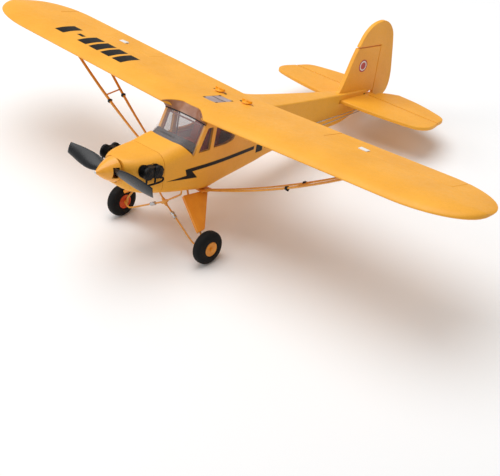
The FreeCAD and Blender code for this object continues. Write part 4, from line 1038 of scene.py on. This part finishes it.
# ---- tail ----------------------------------------------------------------------------------
STAB_LEAD = [
    (0, 238), (12, 239), (50, 243), (84, 249.4), (100, 254.6), (106, 262), (107.4, 271), (105.4, 281),
    (103.4, ELEVATOR_Y - GAP),
]
ELEVATOR_EDGE = [
    (103, ELEVATOR_Y + GAP), (97, 306), (77, 315), (48.6, 321.5), (23, 323), (12.5, 314), (8.4, 308),
    (8.4, 297.2), (0, 297.2),
]
FIN_CURVE = [
    (234, 31.2), (239.5, 33.2), (242.7, 38.4), (245.6, 44.7), (249.4, 54.4), (254.7, 68.1),
    (260.2, HORN_GAP_Z - 0.6),
]
RUDDER_CURVE = [
    (261, HORN_GAP_Z + 0.6), (264.4, 87.5), (270.6, 97.3), (282.2, 106), (298.7, 109), (309, 104.8),
    (316.8, 95.8), (319.9, 86), (323.9, 66.6), (327.4, 47), (327.5, 35.3), (324.5, 25.9), (316, 18.8),
    (307, 14.6),
]


def surface_plan(edge):
    """The closed outline of a tail surface from the left half of its edge."""
    return edge + [(-x, y) for x, y in reversed(edge) if x > 0.01]


def add_tail():
    """Flat foam surfaces with rounded edges, hinged along thin gaps."""
    half = TAIL_THICK / 2
    lead = through(STAB_LEAD, 4)
    stab = piece("tailplane_skin", plan_prism(surface_plan(lead), TAIL_Z - half, TAIL_Z + half), "foam",
                 ["tailplane"])
    round_edges(stab, 1.1, 4, 50)
    edge = [(0, ELEVATOR_Y + GAP)] + through(ELEVATOR_EDGE[:5], 5) + through(ELEVATOR_EDGE[4:7], 4)[1:]
    edge += ELEVATOR_EDGE[7:]
    flap = piece("elevator_skin", plan_prism(surface_plan(edge), TAIL_Z - half, TAIL_Z + half), "foam",
                 ["elevator"], body="elevator")
    front = ELEVATOR_Y + GAP
    lean = HINGE_SLANT * TAIL_THICK
    slant = [(front - 2, TAIL_Z + half + 0.5), (front - 0.2, TAIL_Z + half + 0.5),
             (front + lean, TAIL_Z - half - 0.3), (front - 2, TAIL_Z - half - 0.3)]
    carve(flap, side_prism(slant, -120, 120))
    tidy(flap)
    round_edges(flap, 0.9, 4, 50)
    half = FIN_THICK / 2
    outline = through(FIN_CURVE, 4) + [(RUDDER_Y - GAP, HORN_GAP_Z - 0.6), (RUDDER_Y - GAP, 29), (250, 29)]
    fin = piece("fin_skin", side_prism(outline, -half, half), "foam", ["fin"])
    round_edges(fin, 1.1, 4, 50)
    outline = [(RUDDER_Y + GAP, 14.6), (RUDDER_Y + GAP, HORN_GAP_Z + 0.6)] + through(RUDDER_CURVE, 4)
    rudder = piece("rudder_skin", side_prism(outline, -half, half), "foam", ["rudder"], body="rudder")
    depth = RUDDER_SLANT * half
    for side in (-1, 1):
        edge = side * (half + 0.5)
        nose = [(0, RUDDER_Y - 1), (edge, RUDDER_Y - 1), (edge, RUDDER_Y + GAP + depth), (0, RUDDER_Y + GAP)]
        carve(rudder, plan_prism(nose, 0, HORN_GAP_Z + 0.6))
    tidy(rudder)
    round_edges(rudder, 1, 4, 50)


def disc_on_fin(centre, radius, x0, x1, inner=0):
    profile = [(x0, inner), (x0, radius), (x1, radius - 0.06), (x1, inner)]
    return turned([(a, max(r, 0.01)) for a, r in profile], (0, centre[0], centre[1]), "X", 48)


BADGE = (273, 60)
BADGE_R = 7.2


def add_badge():
    """A plain geometric badge each side of the fin: a red disc with a white ring."""
    face = FIN_THICK / 2
    red = disc_on_fin(BADGE, BADGE_R, face - 0.2, face + 0.08)
    white = disc_on_fin(BADGE, BADGE_R - 1.6, face + 0.02, face + 0.14, BADGE_R - 3)
    piece("fin_badge", both(red), "badge_red")
    piece("fin_badge_ring", both(white), "white_plastic")


def screw_head(centre, radius):
    """A domed cross-head screw that faces sideways."""
    profile = [(-0.4, 0.01), (-0.4, radius), (0.1, radius), (0.5, radius * 0.6), (0.5, 0.3), (0.2, 0.2),
               (0.2, 0.01)]
    return turned(profile, centre, "X", 20)


def add_fittings():
    """Screws and the aileron horns' base plates, which show on the outside."""
    tail_screw = (wall_x(TAIL_SCREW_Y), TAIL_SCREW_Y, 26.9)
    piece("tail_screws", both(screw_head(tail_screw, 0.9)), "screw_dark")
    cowl_screw = (28.05, COWL_BACK - 1.6, 2.7)
    piece("cowl_screw_heads", both(screw_head(cowl_screw, 1.1)), "screw_dark", ["cowl_screws"])
    middle = AILERON_HINGE_Y + 4.3
    top = wing_top(HORN_X, middle)
    for side, name in SIDES:
        x = side * HORN_X
        corners = [(x - 5, middle - 2.7), (x + 5, middle - 2.7), (x + 5, middle + 2.7), (x - 5, middle + 2.7)]
        cap = plan_prism(rounded(corners, 1, 3), top - 1, top + 0.8)
        dots = [turned([(top + 0.7, 0.01), (top + 0.7, 0.9), (top + 1.2, 0.6), (top + 1.2, 0.01)],
                       (x + dx, middle, 0), "Z", 16) for dx in (-2.6, 2.6)]
        plate = piece(name + "_horn_plate", join(cap, *dots), "white_plastic", body=name + "_aileron")
        round_edges(plate, 0.2, 2)


# ---- CAD nodes that stay, with finishes of their own ----------------------------------------
KEPT_BY_FINISH = {
    "foam": "battery_hatch", "plywood": "firewall wing_seat", "cockpit_red": "cabin_seat",
    "battery_wrap": "battery", "board": "receiver_board", "motor": "motor_base motor_bell",
    "aluminium": "prop_hardware", "carbon": "wing_spars", "orange_plastic": "strut_brackets",
    "white_plastic": "left_aileron_horn right_aileron_horn left_aileron_arm right_aileron_arm "
                     "elevator_horn rudder_horn elevator_arm rudder_arm",
    "steel": "left_aileron_rod right_aileron_rod axle_collars tail_wheel_wire elevator_pushrod "
             "rudder_pushrod",
    "painted_wire": "gear_wires", "tyre": "tail_wheel", "servo_case": "servos",
}
KEPT = {node: finish for finish, nodes in KEPT_BY_FINISH.items() for node in nodes.split()}


def finish_kept_nodes():
    """Give each CAD node that still shows its finish, smooth faces and a small edge radius."""
    for name, made in frame["nodes"].items():
        if made.hide_render:
            continue
        made.data.materials.clear()
        made.data.materials.append(MATERIALS["hub_orange" if name == "axle_collars" else KEPT[name]])
        for face in made.data.polygons:
            face.use_smooth = True
        weld = made.modifiers.new("weld", "WELD")
        weld.merge_threshold = 1e-5
        round_edges(made, 0.12, 2, 35)


# ---- stage ---------------------------------------------------------------------------------
def area_light(name, position, size, power):
    """A white disc light aimed at the airplane."""
    data = bpy.data.lights.new(name, "AREA")
    data.shape = "DISK"
    data.size = size
    data.energy = power
    light = new_object(name, data)
    light.location = position
    light.rotation_euler = (LIGHT_AIM - Vector(position)).to_track_quat("-Z", "Y").to_euler()


def add_stage():
    """Pale floor that fades into the backdrop, and soft studio light from above."""
    data = bpy.data.meshes.new("floor")
    corners = [(-FLOOR, -FLOOR, 0), (FLOOR, -FLOOR, 0), (FLOOR, FLOOR, 0), (-FLOOR, FLOOR, 0)]
    data.from_pydata(corners, [], [(0, 1, 2, 3)])
    floor = new_object("floor", data)
    made = bpy.data.materials.new("floor_white")
    made.use_nodes = True
    shader = made.node_tree.nodes["Principled BSDF"]
    shader.inputs["Base Color"].default_value = (0.90, 0.90, 0.90, 1)
    shader.inputs["Roughness"].default_value = 0.9
    shader.inputs["Specular IOR Level"].default_value = 0.1
    data.materials.append(made)
    world = bpy.data.worlds.new("studio")
    world.use_nodes = True
    background = world.node_tree.nodes["Background"]
    background.inputs["Color"].default_value = (1, 1, 1, 1)
    background.inputs["Strength"].default_value = 0.42
    bpy.context.scene.world = world
    area_light("key", (-0.3, 0.1, 2), 2.2, 34)
    area_light("side", (-1.6, -1, 1.3), 1.2, 9)
    area_light("front", (0, -2, 0.8), 0.9, 3)
    bpy.context.scene.view_settings.view_transform = "Standard"


# ---- assembly ------------------------------------------------------------------------------
add_camera()
add_stage()
add_fuselage()
add_cowl()
add_side_marks()
add_cabin()
add_engine()
add_propeller()
add_wing()
add_skylight()
add_wing_bars()
add_locks()
add_struts()
add_gear()
add_wheels()
add_tail()
add_badge()
add_fittings()
finish_kept_nodes()
